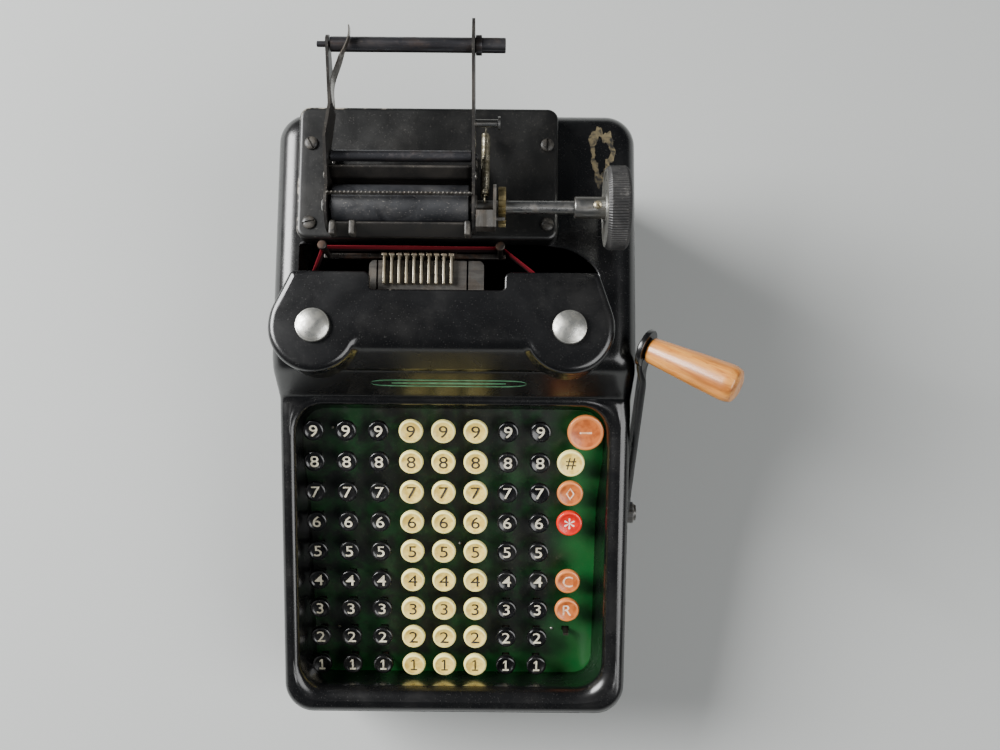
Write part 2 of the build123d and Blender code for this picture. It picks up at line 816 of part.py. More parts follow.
def carriage_plate(x, thickness, shaft_bore, roll_bore, arm_end, finger):
    """A plate from x: a foot on the bed, a round for the platen's bearing, an arm to the roll shaft."""
    with BuildPart() as plate:
        with BuildSketch(Plane.YZ.offset(x)):
            with Locations((platen_y, platen_z)):
                Circle(platen_radius + 3)
            with Locations((foot_span[0] + 1, bed_top + 1), (foot_span[1] - 1, bed_top + 1)):
                Rectangle(2, 2)
            make_hull()
            with BuildSketch(mode=Mode.PRIVATE) as arm:
                with Locations((platen_y + 6, platen_z)):
                    Circle(9)
                with Locations((guide_y, guide_z)):
                    Circle(7.5)
                with Locations((roll_y, roll_z)):
                    Circle(arm_end)
                with Locations((roll_y + finger, roll_z + finger / 3)):
                    Circle(arm_finger_radius)
                make_hull()
            add(arm.sketch)
            with Locations((platen_y, platen_z)):
                Circle(shaft_bore, mode=Mode.SUBTRACT)
            with Locations((guide_y, guide_z)):
                Circle(1.5 + running_gap, mode=Mode.SUBTRACT)
            with Locations((roll_y, roll_z)):
                Circle(roll_bore, mode=Mode.SUBTRACT)
        extrude(amount=thickness)
    return plate


platen_bore = platen_shaft_radius + running_gap
inside_left = arm_left_x + arm_thickness / 2
inside_right = arm_right_x - arm_thickness / 2
outside_left = arm_left_x - arm_thickness / 2
left_blank = carriage_plate(
    outside_left, arm_thickness + arm_jog, platen_bore, roll_pin_radius + running_gap, left_arm_end, 0
)
keep(
    "right_carriage_plate",
    carriage_plate(
        inside_right, arm_thickness, platen_bore, roll_radius + running_gap, right_arm_end, arm_finger_reach
    ),
)
# the left plate is what its side outline and its stepped plan outline share
with BuildPart() as left_carriage_plate:
    add(left_blank)
    with BuildSketch(Plane.XY.offset(deck_height)):
        with BuildLine():
            Polyline(
                (outside_left, platen_y - 20),
                (outside_left, arm_jog_y[0]),
                (outside_left + arm_jog, arm_jog_y[1]),
                (outside_left + arm_jog, roll_y + 20),
                (inside_left + arm_jog, roll_y + 20),
                (inside_left + arm_jog, arm_jog_y[1]),
                (inside_left, arm_jog_y[0]),
                (inside_left, platen_y - 20),
                close=True,
            )
        make_face()
    extrude(amount=roll_z + 20 - deck_height, mode=Mode.INTERSECT)
keep("left_carriage_plate", left_carriage_plate)
pan_inner = platen_radius + 3.3
pan_thickness = 1.0
pan_angles = (-101, -46, 8)


def pan_point(radius, angle):
    """A point round the platen's axis, the angle from level at the rear."""
    return (platen_y + radius * cos(radians(angle)), platen_z + radius * sin(radians(angle)))


with BuildPart() as paper_pan:
    with BuildSketch(Plane.YZ.offset(inside_left)):
        with BuildLine():
            near = [pan_point(pan_inner, angle) for angle in pan_angles]
            far = [pan_point(pan_inner + pan_thickness, angle) for angle in pan_angles]
            ThreePointArc(*near)
            ThreePointArc(*far)
            Line(near[0], far[0])
            flare = (near[2][0] + 4.5, near[2][1] + 7.5)
            Polyline(near[2], flare, (flare[0] + pan_thickness, flare[1] - 0.4), far[2])
        make_face()
    extrude(amount=inside_right - inside_left)
keep("paper_pan", paper_pan)

# tear bar: a thin strip over the platen, its upper edge cut in teeth
tear_teeth = 34
tear_bottom = platen_z + platen_radius + 1.5
tear_top = tear_bottom + 4.5
tear_y = platen_y + 3.0
with BuildPart() as tear_bar:
    with BuildSketch(Plane.XZ.offset(-tear_y)):
        with BuildLine():
            step = (inside_right - inside_left) / tear_teeth
            points = [(inside_left, tear_bottom)]
            for i in range(tear_teeth):
                points.append((inside_left + step * i, tear_top - 1.2))
                points.append((inside_left + step * (i + 0.5), tear_top))
            points.append((inside_right, tear_top - 1.2))
            points.append((inside_right, tear_bottom))
            Polyline(*points, close=True)
        make_face()
    extrude(amount=0.8)
keep("tear_bar", tear_bar)

guide_foot_y = platen_y - platen_radius - 5.3
with BuildPart() as paper_guide:
    with BuildSketch(Plane.YZ.offset(inside_left)):
        with BuildLine():
            Polyline(
                (guide_foot_y, platen_z - 3.5),
                (guide_foot_y + 0.8, platen_z - 3.8),
                (guide_foot_y + 6.1, platen_z + 7.2),
                (guide_foot_y + 5.3, platen_z + 7.5),
                close=True,
            )
        make_face()
    extrude(amount=inside_right - inside_left)
keep("paper_guide", paper_guide)

# guide roller: a tube on its own thin trunnions
with BuildPart() as guide_roller:
    add(bar(inside_left + 0.5, inside_right - 0.5, guide_y, guide_z, guide_radius))
    add(bar(arm_left_x - 2, inside_left + 0.5, guide_y, guide_z, 1.5))
    add(bar(inside_right - 0.5, arm_right_x + 2, guide_y, guide_z, 1.5))
keep("guide_roller", guide_roller)

roll_left_x = inside_left + arm_jog + 0.5
roll_right_x = 27.2
collar_x = arm_right_x + arm_thickness / 2 + 0.4
with BuildPart() as roll_shaft:
    add(bar(roll_left_x, roll_right_x, roll_y, roll_z, roll_radius))
    add(bar(arm_left_x - 2, roll_left_x, roll_y, roll_z, roll_pin_radius))
    add(bar(collar_x, collar_x + 3, roll_y, roll_z, roll_radius + 1.2))
keep("roll_shaft", roll_shaft)

# leaf that presses on the end of the paper roll: flat on the left arm, then out and up over the shaft
leaf_thickness = 0.6
leaf_x = inside_left + arm_jog
leaf_y = arm_jog_y[1] + 0.5
leaf_over = roll_z + roll_radius + 0.5
leaf_top = roll_z + 8.2
leaf_end_y = roll_y + 6.5


def leaf_edge(shift):
    """One face of the leaf seen from above: straight along the arm, then an S."""
    Line((leaf_x + shift, leaf_y), (leaf_x + shift, leaf_y + 4))
    Spline(
        (leaf_x + shift, leaf_y + 4),
        (leaf_x + 4.2 + shift, roll_y - 12),
        (leaf_x + 9.9 + shift, roll_y),
        (leaf_x + 10.2 + shift, leaf_end_y),
        tangents=((0, 1), (-0.1, 1)),
    )


with BuildPart() as roll_brake_spring:
    with BuildSketch(Plane.XY.offset(deck_height)):
        with BuildLine():
            leaf_edge(0)
            leaf_edge(leaf_thickness)
            Line((leaf_x, leaf_y), (leaf_x + leaf_thickness, leaf_y))
            Line((leaf_x + 10.2, leaf_end_y), (leaf_x + 10.2 + leaf_thickness, leaf_end_y))
        make_face()
    extrude(amount=roll_z + 20 - deck_height)
    with BuildSketch(Plane.YZ.offset(leaf_x - 5)):
        with BuildLine():
            Polyline(
                (leaf_y, roll_z - 20),
                (leaf_y + 5, roll_z - 16),
                (roll_y - 5, leaf_over),
                (leaf_end_y, leaf_over),
                (leaf_end_y, leaf_top),
                (roll_y - 9, leaf_top),
                (leaf_y, roll_z - 10),
                close=True,
            )
        make_face()
    extrude(amount=25, mode=Mode.INTERSECT)
keep("roll_brake_spring", roll_brake_spring)

# ---- platen, its shaft, ratchet wheel, hub and knob ----
with BuildPart() as platen:
    add(bar(inside_left + 1.5, inside_right - 1.5, platen_y, platen_z, platen_radius, platen_shaft_radius))
keep("platen", platen)

with BuildPart() as platen_shaft:
    shaft_end = knob_start_x + platen_knob_width - 2
    add(bar(arm_left_x - 3.5, shaft_end, platen_y, platen_z, platen_shaft_radius))
keep("platen_shaft", platen_shaft)

with BuildPart() as line_space_ratchet:
    with BuildSketch(Plane.YZ.offset(ratchet_x)):
        with Locations((platen_y, platen_z)):
            Circle(ratchet_radius)
            Circle(platen_shaft_radius, mode=Mode.SUBTRACT)
            with PolarLocations(ratchet_radius, ratchet_teeth):
                Triangle(a=2.6, b=2.6, C=60, rotation=90, mode=Mode.SUBTRACT)
    extrude(amount=ratchet_width)
keep("line_space_ratchet", line_space_ratchet)

set_screw_x = 75.7
with BuildPart() as knob_hub:
    add(bar(hub_start_x, knob_start_x, platen_y, platen_z, hub_radius, platen_shaft_radius))
    add(post(set_screw_x, platen_y, platen_z, platen_z + hub_radius + 1, 1.6), mode=Mode.SUBTRACT)
keep("knob_hub", knob_hub)

with BuildPart() as knob_set_screw:
    add(post(set_screw_x, platen_y, platen_z + platen_shaft_radius, platen_z + hub_radius + 0.4, 1.6))
    add(post(set_screw_x, platen_y, platen_z + hub_radius + 0.4, platen_z + hub_radius + 1.4, 2.2))
keep("knob_set_screw", knob_set_screw)

with BuildPart() as platen_knob:
    add(bar(knob_start_x, knob_start_x + platen_knob_width, platen_y, platen_z, platen_knob_radius))
    chamfer(platen_knob.edges().filter_by(GeomType.CIRCLE), 2.0)
    add(
        bar(knob_start_x, knob_start_x + platen_knob_width - 2, platen_y, platen_z, platen_shaft_radius),
        mode=Mode.SUBTRACT,
    )
keep("platen_knob", platen_knob)

# ---- line-space pawl: a lever with a block over the ratchet, and its spring ----
pawl_x = 21.4
pawl_thickness = 1.6
pawl_pivot_y = 146.0
pawl_pivot_z = deck_height + 49.0
pawl_block_x = (12.6, 23.0)
pawl_block_y = (92.6, 101.4)
pawl_block_z = (deck_height + 35.5, deck_height + 45.5)
pawl_tooth_radius = 1.0
pawl_tooth_angle = 43.0  # where it meets the wheel, up from level at the front
stud_radius = 2.0
spring_radius = 2.35
with BuildPart() as line_space_pawl:
    with BuildSketch(Plane.YZ.offset(pawl_x)):
        with Locations((pawl_pivot_y, pawl_pivot_z)):
            Circle(5)
        with Locations((platen_y + 6, platen_z + 10)):
            Circle(3)
        make_hull()
        with BuildSketch(mode=Mode.PRIVATE) as nose:
            with Locations((platen_y + 6, platen_z + 10)):
                Circle(3)
            with Locations((pawl_block_y[1], pawl_block_z[0] + 5)):
                Circle(3)
            make_hull()
        add(nose.sketch)
        with Locations((pawl_pivot_y, pawl_pivot_z)):
            Circle(stud_radius + running_gap, mode=Mode.SUBTRACT)
    extrude(amount=pawl_thickness)
    tooth_away = ratchet_radius + pawl_tooth_radius + 0.2
    tooth_y = platen_y - tooth_away * cos(radians(pawl_tooth_angle))
    tooth_z = platen_z + tooth_away * sin(radians(pawl_tooth_angle))
    add(bar(pawl_x, ratchet_x + ratchet_width - 0.5, tooth_y, tooth_z, pawl_tooth_radius))
    with BuildSketch(Plane.YZ.offset(pawl_block_x[0])):
        with Locations(((pawl_block_y[0] + pawl_block_y[1]) / 2, (pawl_block_z[0] + pawl_block_z[1]) / 2)):
            Rectangle(pawl_block_y[1] - pawl_block_y[0], pawl_block_z[1] - pawl_block_z[0])
    extrude(amount=pawl_block_x[1] - pawl_block_x[0])
keep("line_space_pawl", line_space_pawl)

with BuildPart() as fixed_studs:
    for x in ear_xs:
        add(post(x, ear_y, deck_height, spindle_top, spindle_radius))
        add(post(x, ear_y, deck_height, spool_bottom - 0.3, spindle_radius + 2))
    stud_start = arm_right_x + arm_thickness / 2
    stud_head = pawl_x + pawl_thickness + 0.6
    add(bar(stud_start, stud_head, pawl_pivot_y, pawl_pivot_z, stud_radius))
    add(bar(stud_head, stud_head + 1.2, pawl_pivot_y, pawl_pivot_z, stud_radius + 1.5))
keep("fixed_studs", fixed_studs)

spring_x = 17.0
spring_front = Vector(spring_x, 108.0, deck_height + 40.0)
spring_rear = Vector(spring_x, 152.0, deck_height + 21.0)
with BuildPart() as pawl_spring:
    along = spring_rear - spring_front
    with BuildSketch(Plane(origin=spring_front, x_dir=(1, 0, 0), z_dir=along)):
        Circle(spring_radius)
        Circle(spring_radius - 0.7, mode=Mode.SUBTRACT)
    extrude(amount=along.length)
keep("pawl_spring", pawl_spring)

# ---- main shaft, cams and crank ----
shaft_end_x = crank_x + crank_thickness + 5.5
with BuildPart() as main_shaft:
    add(bar(frame_left_x - 1.5, shaft_end_x, shaft_y, shaft_z, shaft_radius))
keep("main_shaft", main_shaft)

cam_thickness = 4.0
cam_places = [column_x[1] + key_pitch / 2, column_x[6] + key_pitch / 2]
with BuildPart() as drive_cams:
    for x in cam_places:
        with BuildSketch(Plane.YZ.offset(x - cam_thickness / 2)):
            with Locations((shaft_y, shaft_z)):
                Circle(10)
            with Locations((shaft_y, shaft_z - 13)):
                Circle(4)
            make_hull()
            with Locations((shaft_y, shaft_z)):
                Circle(shaft_radius, mode=Mode.SUBTRACT)
        extrude(amount=cam_thickness)
keep("drive_cams", drive_cams)

hub_gap = 0.7
bend = crank_end - crank_axis * 17.0  # the flat bar ends here and twists into the lug
with BuildPart() as crank_arm:
    with BuildSketch(Plane.YZ.offset(crank_x)):
        with Locations((shaft_y, shaft_z)):
            Circle(8.5)
        with Locations((bend.Y, bend.Z)):
            Circle(6.5)
        make_hull()
    extrude(amount=crank_thickness)
    add(bar(half_width + hub_gap, crank_x, shaft_y, shaft_z, 8.5))
    add(bar(half_width, shaft_end_x, shaft_y, shaft_z, shaft_radius), mode=Mode.SUBTRACT)
    with BuildSketch(grip_plane.offset(-flange_thickness / 2)):
        Circle(flange_radius)
    extrude(amount=flange_thickness)
    with BuildSketch(grip_plane.offset(-2 * flange_thickness)):
        Circle(spindle_bolt_radius)
    extrude(amount=4 * flange_thickness, mode=Mode.SUBTRACT)
keep("crank_arm", crank_arm)

with BuildPart() as crank_nut:
    with BuildSketch(Plane.YZ.offset(crank_x + crank_thickness)):
        with Locations((shaft_y, shaft_z)):
            RegularPolygon(7.5, 6)
            Circle(shaft_radius, mode=Mode.SUBTRACT)
    extrude(amount=4)
keep("crank_nut", crank_nut)

grip_start = flange_thickness / 2 + grip_gap
bolt_reach = grip_start + grip_length - 8
with BuildPart() as grip_bolt:
    with BuildSketch(grip_plane.offset(-flange_thickness / 2)):
        Circle(spindle_bolt_radius)
    extrude(amount=flange_thickness / 2 + bolt_reach)
    inner_face = grip_plane.origin - grip_plane.z_dir * flange_thickness / 2
    with BuildSketch(Plane(inner_face, grip_plane.x_dir, -grip_plane.z_dir)):
        Circle(5.0)
    extrude(amount=3.0, taper=25)
keep("grip_bolt", grip_bolt)

with BuildPart() as crank_grip:
    profile_plane = Plane(origin=grip_plane.origin, x_dir=grip_plane.x_dir, z_dir=-grip_plane.y_dir)
    end = grip_start + grip_length
    with BuildSketch(profile_plane):
        with BuildLine():
            bore = spindle_bolt_radius + running_gap
            Polyline(
                (0, end),
                (0, bolt_reach + 0.5),
                (bore, bolt_reach + 0.5),
                (bore, grip_start),
                (grip_root_radius - 0.8, grip_start),
                (grip_root_radius, grip_start + 1.2),
                (grip_end_radius, end - 5),
            )
            ThreePointArc(
                (grip_end_radius, end - 5),
                (grip_end_radius - 1.3, end - 1.4),
                (grip_end_radius - 4.5, end),
            )
            Line((grip_end_radius - 4.5, end), (0, end))
        make_face()
    revolve(axis=Axis(grip_plane.origin, grip_plane.z_dir))
keep("crank_grip", crank_grip)

with BuildPart() as crank_return_spring:
    add(post(column_x[6] + key_pitch, shaft_y - 18, floor_z, shaft_z - 18, 4.0, 3.0))
keep("crank_return_spring", crank_return_spring)

# ---- the origin moves to the middle of the whole machine, on the table ----
boxes = [piece.bounding_box() for piece in pieces.values()]
middle_x = (min(box.min.X for box in boxes) + max(box.max.X for box in boxes)) / 2
middle_y = (min(box.min.Y for box in boxes) + max(box.max.Y for box in boxes)) / 2
print("origin moved by", round(-middle_x, 4), round(-middle_y, 4))
os.makedirs("parts", exist_ok=True)
for name, piece in pieces.items():
    placed = piece.moved(Location((-middle_x, -middle_y, 0)))
    placed.label = name
    export_step(placed, f"parts/{name}.step")
print(len(pieces), "pieces")
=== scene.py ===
import math
import bmesh
import bpy
import numpy as np
from mathutils import Matrix, Vector


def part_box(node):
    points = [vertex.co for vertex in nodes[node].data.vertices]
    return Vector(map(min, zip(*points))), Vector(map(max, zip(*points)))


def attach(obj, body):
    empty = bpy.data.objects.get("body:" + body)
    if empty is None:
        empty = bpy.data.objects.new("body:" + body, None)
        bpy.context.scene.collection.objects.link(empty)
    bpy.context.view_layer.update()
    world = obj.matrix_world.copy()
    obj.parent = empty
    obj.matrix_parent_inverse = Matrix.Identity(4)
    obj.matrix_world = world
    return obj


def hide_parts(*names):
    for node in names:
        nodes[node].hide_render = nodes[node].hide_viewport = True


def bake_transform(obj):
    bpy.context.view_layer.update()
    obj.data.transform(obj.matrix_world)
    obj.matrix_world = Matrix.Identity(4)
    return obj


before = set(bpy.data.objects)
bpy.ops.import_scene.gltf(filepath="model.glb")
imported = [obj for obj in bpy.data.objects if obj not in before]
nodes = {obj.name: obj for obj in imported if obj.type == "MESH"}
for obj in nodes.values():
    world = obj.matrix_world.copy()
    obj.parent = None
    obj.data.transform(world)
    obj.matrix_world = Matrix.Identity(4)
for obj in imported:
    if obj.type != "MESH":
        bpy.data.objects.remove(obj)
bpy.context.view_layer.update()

# Sizes below are millimetres with X = Y = 0 in the middle of the casing and Z = 0 on the table.
casingLow, casingHigh = (np.array(corner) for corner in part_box("housing"))
casingMiddle = (casingLow + casingHigh) / 2 * np.array([1.0, 1.0, 0.0])


def toFrame(points):
    # millimetres from the casing's middle -> metres in the frame
    return np.asarray(points, float) * 0.001 + casingMiddle


# node groups shared by the finishes
def newGroup(name, inputs, outputs):
    group = bpy.data.node_groups.new(name, "ShaderNodeTree")
    for label, kind, value in inputs:
        socket = group.interface.new_socket(label, in_out="INPUT", socket_type=kind)
        if value is not None:
            socket.default_value = value
    for label, kind in outputs:
        group.interface.new_socket(label, in_out="OUTPUT", socket_type=kind)
    return group, group.nodes.new("NodeGroupInput"), group.nodes.new("NodeGroupOutput")


def node(tree, kind, links=(), **settings):
    # one node with its settings, and its inputs set or joined by name
    made = tree.nodes.new(kind)
    for key, value in settings.items():
        setattr(made, key, value)
    for label, value in dict(links).items():
        if isinstance(value, bpy.types.NodeSocket):
            tree.links.new(value, made.inputs[label])
        else:
            made.inputs[label].default_value = value
    return made


def noise(tree, vector, scale, detail=3.0, roughness=0.55, distortion=0.0):
    return node(tree, "ShaderNodeTexNoise", {
        "Vector": vector, "Scale": scale, "Detail": detail,
        "Roughness": roughness, "Distortion": distortion}).outputs[0]


def remap(tree, value, low, high, toLow=0.0, toHigh=1.0):
    return node(tree, "ShaderNodeMapRange", {
        "Value": value, "From Min": low, "From Max": high,
        "To Min": toLow, "To Max": toHigh}, interpolation_type="SMOOTHSTEP").outputs[0]


def math2(tree, operation, a, b):
    # sums and products of masks stay between 0 and 1
    clamp = operation != "SUBTRACT"
    return node(tree, "ShaderNodeMath", {0: a, 1: b}, operation=operation, use_clamp=clamp).outputs[0]


def math2Free(tree, operation, a, b):
    return node(tree, "ShaderNodeMath", {0: a, 1: b}, operation=operation).outputs[0]


def blendColour(tree, factor, a, b):
    made = tree.nodes.new("ShaderNodeMix")
    made.data_type = "RGBA"
    for socket, value in ((made.inputs[0], factor), (made.inputs[6], a), (made.inputs[7], b)):
        if isinstance(value, bpy.types.NodeSocket):
            tree.links.new(value, socket)
        else:
            socket.default_value = value
    return made.outputs[2]


def blendValue(tree, factor, a, b):
    return node(tree, "ShaderNodeMix", {0: factor, 2: a, 3: b}).outputs[0]


colourSocket, floatSocket, vectorSocket = "NodeSocketColor", "NodeSocketFloat", "NodeSocketVector"


def makeMottleGroup():
    # two colours and two roughnesses mixed by cloudy noise, with a fine height for a bump
    group, enter, leave = newGroup(
        "mottle",
        [("Vector", vectorSocket, None), ("Colour A", colourSocket, None), ("Colour B", colourSocket, None),
         ("Scale", floatSocket, 60.0), ("Rough A", floatSocket, 0.3), ("Rough B", floatSocket, 0.5),
         ("Contrast", floatSocket, 0.5)],
        [("Colour", colourSocket), ("Roughness", floatSocket), ("Height", floatSocket)])
    vector = enter.outputs["Vector"]
    cloud = noise(group, vector, enter.outputs["Scale"], 6.0, 0.62, 0.6)
    half = math2(group, "MULTIPLY", enter.outputs["Contrast"], 0.5)
    low = math2(group, "SUBTRACT", 0.62, half)
    high = math2(group, "SUBTRACT", 0.38, math2(group, "SUBTRACT", 0.0, half))
    mask = remap(group, cloud, low, high)
    fine = noise(group, vector, math2Free(group, "MULTIPLY", enter.outputs["Scale"], 9.0), 4.0)
    group.links.new(blendColour(group, mask, enter.outputs["Colour A"], enter.outputs["Colour B"]),
                    leave.inputs["Colour"])
    group.links.new(blendValue(group, mask, enter.outputs["Rough A"], enter.outputs["Rough B"]),
                    leave.inputs["Roughness"])
    group.links.new(math2(group, "MULTIPLY", fine, 0.6), leave.inputs["Height"])
    return group


def makeDustGroup():
    # dust: specks and soft drifts on the faces that look up
    group, enter, leave = newGroup(
        "settledDust",
        [("Vector", vectorSocket, None), ("Colour", colourSocket, None), ("Roughness", floatSocket, 0.3),
         ("Dust", colourSocket, None), ("Amount", floatSocket, 0.3)],
        [("Colour", colourSocket), ("Roughness", floatSocket)])
    vector = enter.outputs["Vector"]
    normal = node(group, "ShaderNodeNewGeometry").outputs["Normal"]
    up = node(group, "ShaderNodeSeparateXYZ", {"Vector": normal}).outputs["Z"]
    upward = remap(group, up, 0.35, 1.0)
    drift = remap(group, noise(group, vector, 34.0, 5.0, 0.65), 0.44, 0.72)
    specks = remap(group, noise(group, vector, 1100.0, 2.0, 0.5), 0.63, 0.72)
    both = math2(group, "ADD", math2(group, "MULTIPLY", drift, 0.35), math2(group, "MULTIPLY", specks, 0.9))
    mask = math2(group, "MULTIPLY", math2(group, "MULTIPLY", both, upward), enter.outputs["Amount"])
    group.links.new(blendColour(group, mask, enter.outputs["Colour"], enter.outputs["Dust"]),
                    leave.inputs["Colour"])
    group.links.new(blendValue(group, mask, enter.outputs["Roughness"], 0.85), leave.inputs["Roughness"])
    return group


def makeWearGroup():
    # paint rubbed off where the mesh's own edge attribute is high, broken up by noise
    group, enter, leave = newGroup(
        "rubbedEdge",
        [("Vector", vectorSocket, None), ("Colour", colourSocket, None), ("Bare", colourSocket, None),
         ("Roughness", floatSocket, 0.3), ("Amount", floatSocket, 0.5), ("Scale", floatSocket, 220.0)],
        [("Colour", colourSocket), ("Roughness", floatSocket), ("Mask", floatSocket)])
    edge = node(group, "ShaderNodeAttribute", attribute_name="edge").outputs["Fac"]
    rough = noise(group, enter.outputs["Vector"], enter.outputs["Scale"], 6.0, 0.7)
    patches = noise(group, enter.outputs["Vector"], 28.0, 3.0, 0.6)
    broken = math2(group, "MULTIPLY", rough, remap(group, patches, 0.35, 0.62, 0.35, 1.25))
    reach = math2(group, "MULTIPLY", math2(group, "MULTIPLY", edge, broken), enter.outputs["Amount"])
    mask = remap(group, reach, 0.27, 0.36)
    group.links.new(blendColour(group, mask, enter.outputs["Colour"], enter.outputs["Bare"]),
                    leave.inputs["Colour"])
    group.links.new(blendValue(group, mask, enter.outputs["Roughness"], 0.42), leave.inputs["Roughness"])
    group.links.new(mask, leave.inputs["Mask"])
    return group


def makeStreakGroup():
    # drawn or turned metal: noise stretched by the caller's mapping, stains over it
    group, enter, leave = newGroup(
        "drawnMetal",
        [("Vector", vectorSocket, None), ("Stretched", vectorSocket, None), ("Bright", colourSocket, None),
         ("Dull", colourSocket, None), ("Stain", colourSocket, None), ("Stains", floatSocket, 0.3)],
        [("Colour", colourSocket), ("Roughness", floatSocket), ("Height", floatSocket)])
    streak = noise(group, enter.outputs["Stretched"], 300.0, 4.0, 0.6)
    cloud = noise(group, enter.outputs["Vector"], 90.0, 6.0, 0.66, 0.8)
    base = blendColour(group, remap(group, streak, 0.36, 0.64), enter.outputs["Bright"],
                       enter.outputs["Dull"])
    stain = math2(group, "MULTIPLY", remap(group, cloud, 0.44, 0.68), enter.outputs["Stains"])
    group.links.new(blendColour(group, stain, base, enter.outputs["Stain"]), leave.inputs["Colour"])
    rough = blendValue(group, remap(group, streak, 0.3, 0.7), 0.24, 0.4)
    group.links.new(blendValue(group, stain, rough, 0.75), leave.inputs["Roughness"])
    group.links.new(streak, leave.inputs["Height"])
    return group


mottleGroup, dustGroup = makeMottleGroup(), makeDustGroup()
wearGroup, streakGroup = makeWearGroup(), makeStreakGroup()


def rgb(red, green, blue):
    # screen colour 0-255 -> linear with full alpha
    linear = (((c / 255 + 0.055) / 1.055) ** 2.4 if c > 10.3 else c / 255 / 12.92 for c in (red, green, blue))
    return (*linear, 1.0)


def startMaterial(name, coat=0.0, coatRoughness=0.1, metallic=0.0, specular=0.5):
    material = bpy.data.materials.new(name)
    material.use_nodes = True
    tree = material.node_tree
    shader = tree.nodes["Principled BSDF"]
    shader.inputs["Coat Weight"].default_value = coat
    shader.inputs["Coat Roughness"].default_value = coatRoughness
    shader.inputs["Metallic"].default_value = metallic
    shader.inputs["Specular IOR Level"].default_value = specular
    return material, tree, shader, tree.nodes.new("ShaderNodeTexCoord").outputs["Object"]


def useGroup(tree, group, **links):
    made = tree.nodes.new("ShaderNodeGroup")
    made.node_tree = group
    for label, value in links.items():
        socket = made.inputs[label.replace("_", " ")]
        if isinstance(value, bpy.types.NodeSocket):
            tree.links.new(value, socket)
        else:
            socket.default_value = value
    return made.outputs


def addBump(tree, shader, height, strength, distance):
    bump = node(tree, "ShaderNodeBump", {"Height": height, "Strength": strength, "Distance": distance})
    tree.links.new(bump.outputs[0], shader.inputs["Normal"])


def paintMaterial(name, s):
    # enamel or plastic: mottled colour, rubbed edges, settled dust, faint orange peel
    material, tree, shader, place = startMaterial(
        name, coat=s.get("coat", 0.0), coatRoughness=s.get("coatRoughness", 0.08),
        specular=s.get("specular", 0.5))
    mottle = useGroup(tree, mottleGroup, Vector=place, Colour_A=s["colour"], Colour_B=s["second"],
                      Scale=s["scale"],
                      Rough_A=s["rough"][0], Rough_B=s["rough"][1], Contrast=s.get("contrast", 0.6))
    colour, rough = mottle["Colour"], mottle["Roughness"]
    if "bare" in s:
        wear = useGroup(tree, wearGroup, Vector=place, Colour=colour, Bare=s["bare"], Roughness=rough,
                        Amount=s["wear"])
        colour, rough = wear["Colour"], wear["Roughness"]
    if s.get("dust"):
        dust = useGroup(tree, dustGroup, Vector=place, Colour=colour, Roughness=rough,
                        Dust=s.get("dustColour", rgb(120, 116, 108)), Amount=s["dust"])
        colour, rough = dust["Colour"], dust["Roughness"]
    tree.links.new(colour, shader.inputs["Base Color"])
    tree.links.new(rough, shader.inputs["Roughness"])
    addBump(tree, shader, mottle["Height"], s.get("bump", 0.15), s.get("bumpDepth", 0.0002))
    return material


def metalMaterial(name, s):
    # metal: streaks along one axis, stains, dust, edge wear back to bright
    material, tree, shader, place = startMaterial(name, metallic=s.get("metallic", 1.0), specular=0.5)
    stretched = node(tree, "ShaderNodeMapping", {"Vector": place, "Scale": s["stretch"]}).outputs[0]
    streak = useGroup(tree, streakGroup, Vector=place, Stretched=stretched, Bright=s["bright"],
                      Dull=s["dull"],
                      Stain=s["stain"], Stains=s["stains"])
    colour, rough = streak["Colour"], streak["Roughness"]
    if "bare" in s:
        wear = useGroup(tree, wearGroup, Vector=place, Colour=colour, Bare=s["bare"], Roughness=rough,
                        Amount=s["wear"])
        colour, rough = wear["Colour"], wear["Roughness"]
    if s.get("dust"):
        dust = useGroup(tree, dustGroup, Vector=place, Colour=colour, Roughness=rough,
                        Dust=s.get("dustColour", rgb(110, 100, 84)), Amount=s["dust"])
        colour, rough = dust["Colour"], dust["Roughness"]
    tree.links.new(colour, shader.inputs["Base Color"])
    tree.links.new(rough, shader.inputs["Roughness"])
    addBump(tree, shader, streak["Height"], s.get("bump", 0.2), s.get("bumpDepth", 0.00008))
    return material


blackEnamel = paintMaterial("blackEnamel", {
    "colour": rgb(7, 7, 8), "second": rgb(12, 12, 13), "scale": 26.0, "rough": (0.2, 0.32), "contrast": 0.9,
    "coat": 0.32, "coatRoughness": 0.2, "bare": rgb(150, 146, 136), "wear": 0.42, "dust": 0.16,
    "dustColour": rgb(96, 94, 90), "bump": 0.06})
satinBlack = paintMaterial("satinBlack", {
    "colour": rgb(12, 12, 12), "second": rgb(20, 20, 19), "scale": 40.0, "rough": (0.3, 0.44),
    "contrast": 0.9,
    "bare": rgb(140, 134, 124), "wear": 0.7, "dust": 0.22, "dustColour": rgb(92, 88, 82), "bump": 0.15})
satinParts = paintMaterial("satinParts", {
    "colour": rgb(22, 22, 22), "second": rgb(40, 37, 34), "scale": 80.0, "rough": (0.32, 0.5),
    "contrast": 0.9,
    "dust": 0.5, "dustColour": rgb(118, 110, 98), "bump": 0.25})
blackPlastic = paintMaterial("blackPlastic", {
    "colour": rgb(9, 9, 10), "second": rgb(16, 16, 17), "scale": 120.0, "rough": (0.16, 0.28),
    "coat": 0.35, "coatRoughness": 0.1, "dust": 0.18, "dustColour": rgb(120, 118, 110), "bump": 0.1})
knobBlack = paintMaterial("knobBlack", {
    "colour": rgb(26, 26, 27), "second": rgb(46, 45, 44), "scale": 90.0, "rough": (0.42, 0.6),
    "bare": rgb(84, 82, 79), "wear": 0.45, "dust": 0.3, "dustColour": rgb(128, 124, 116), "bump": 0.3})
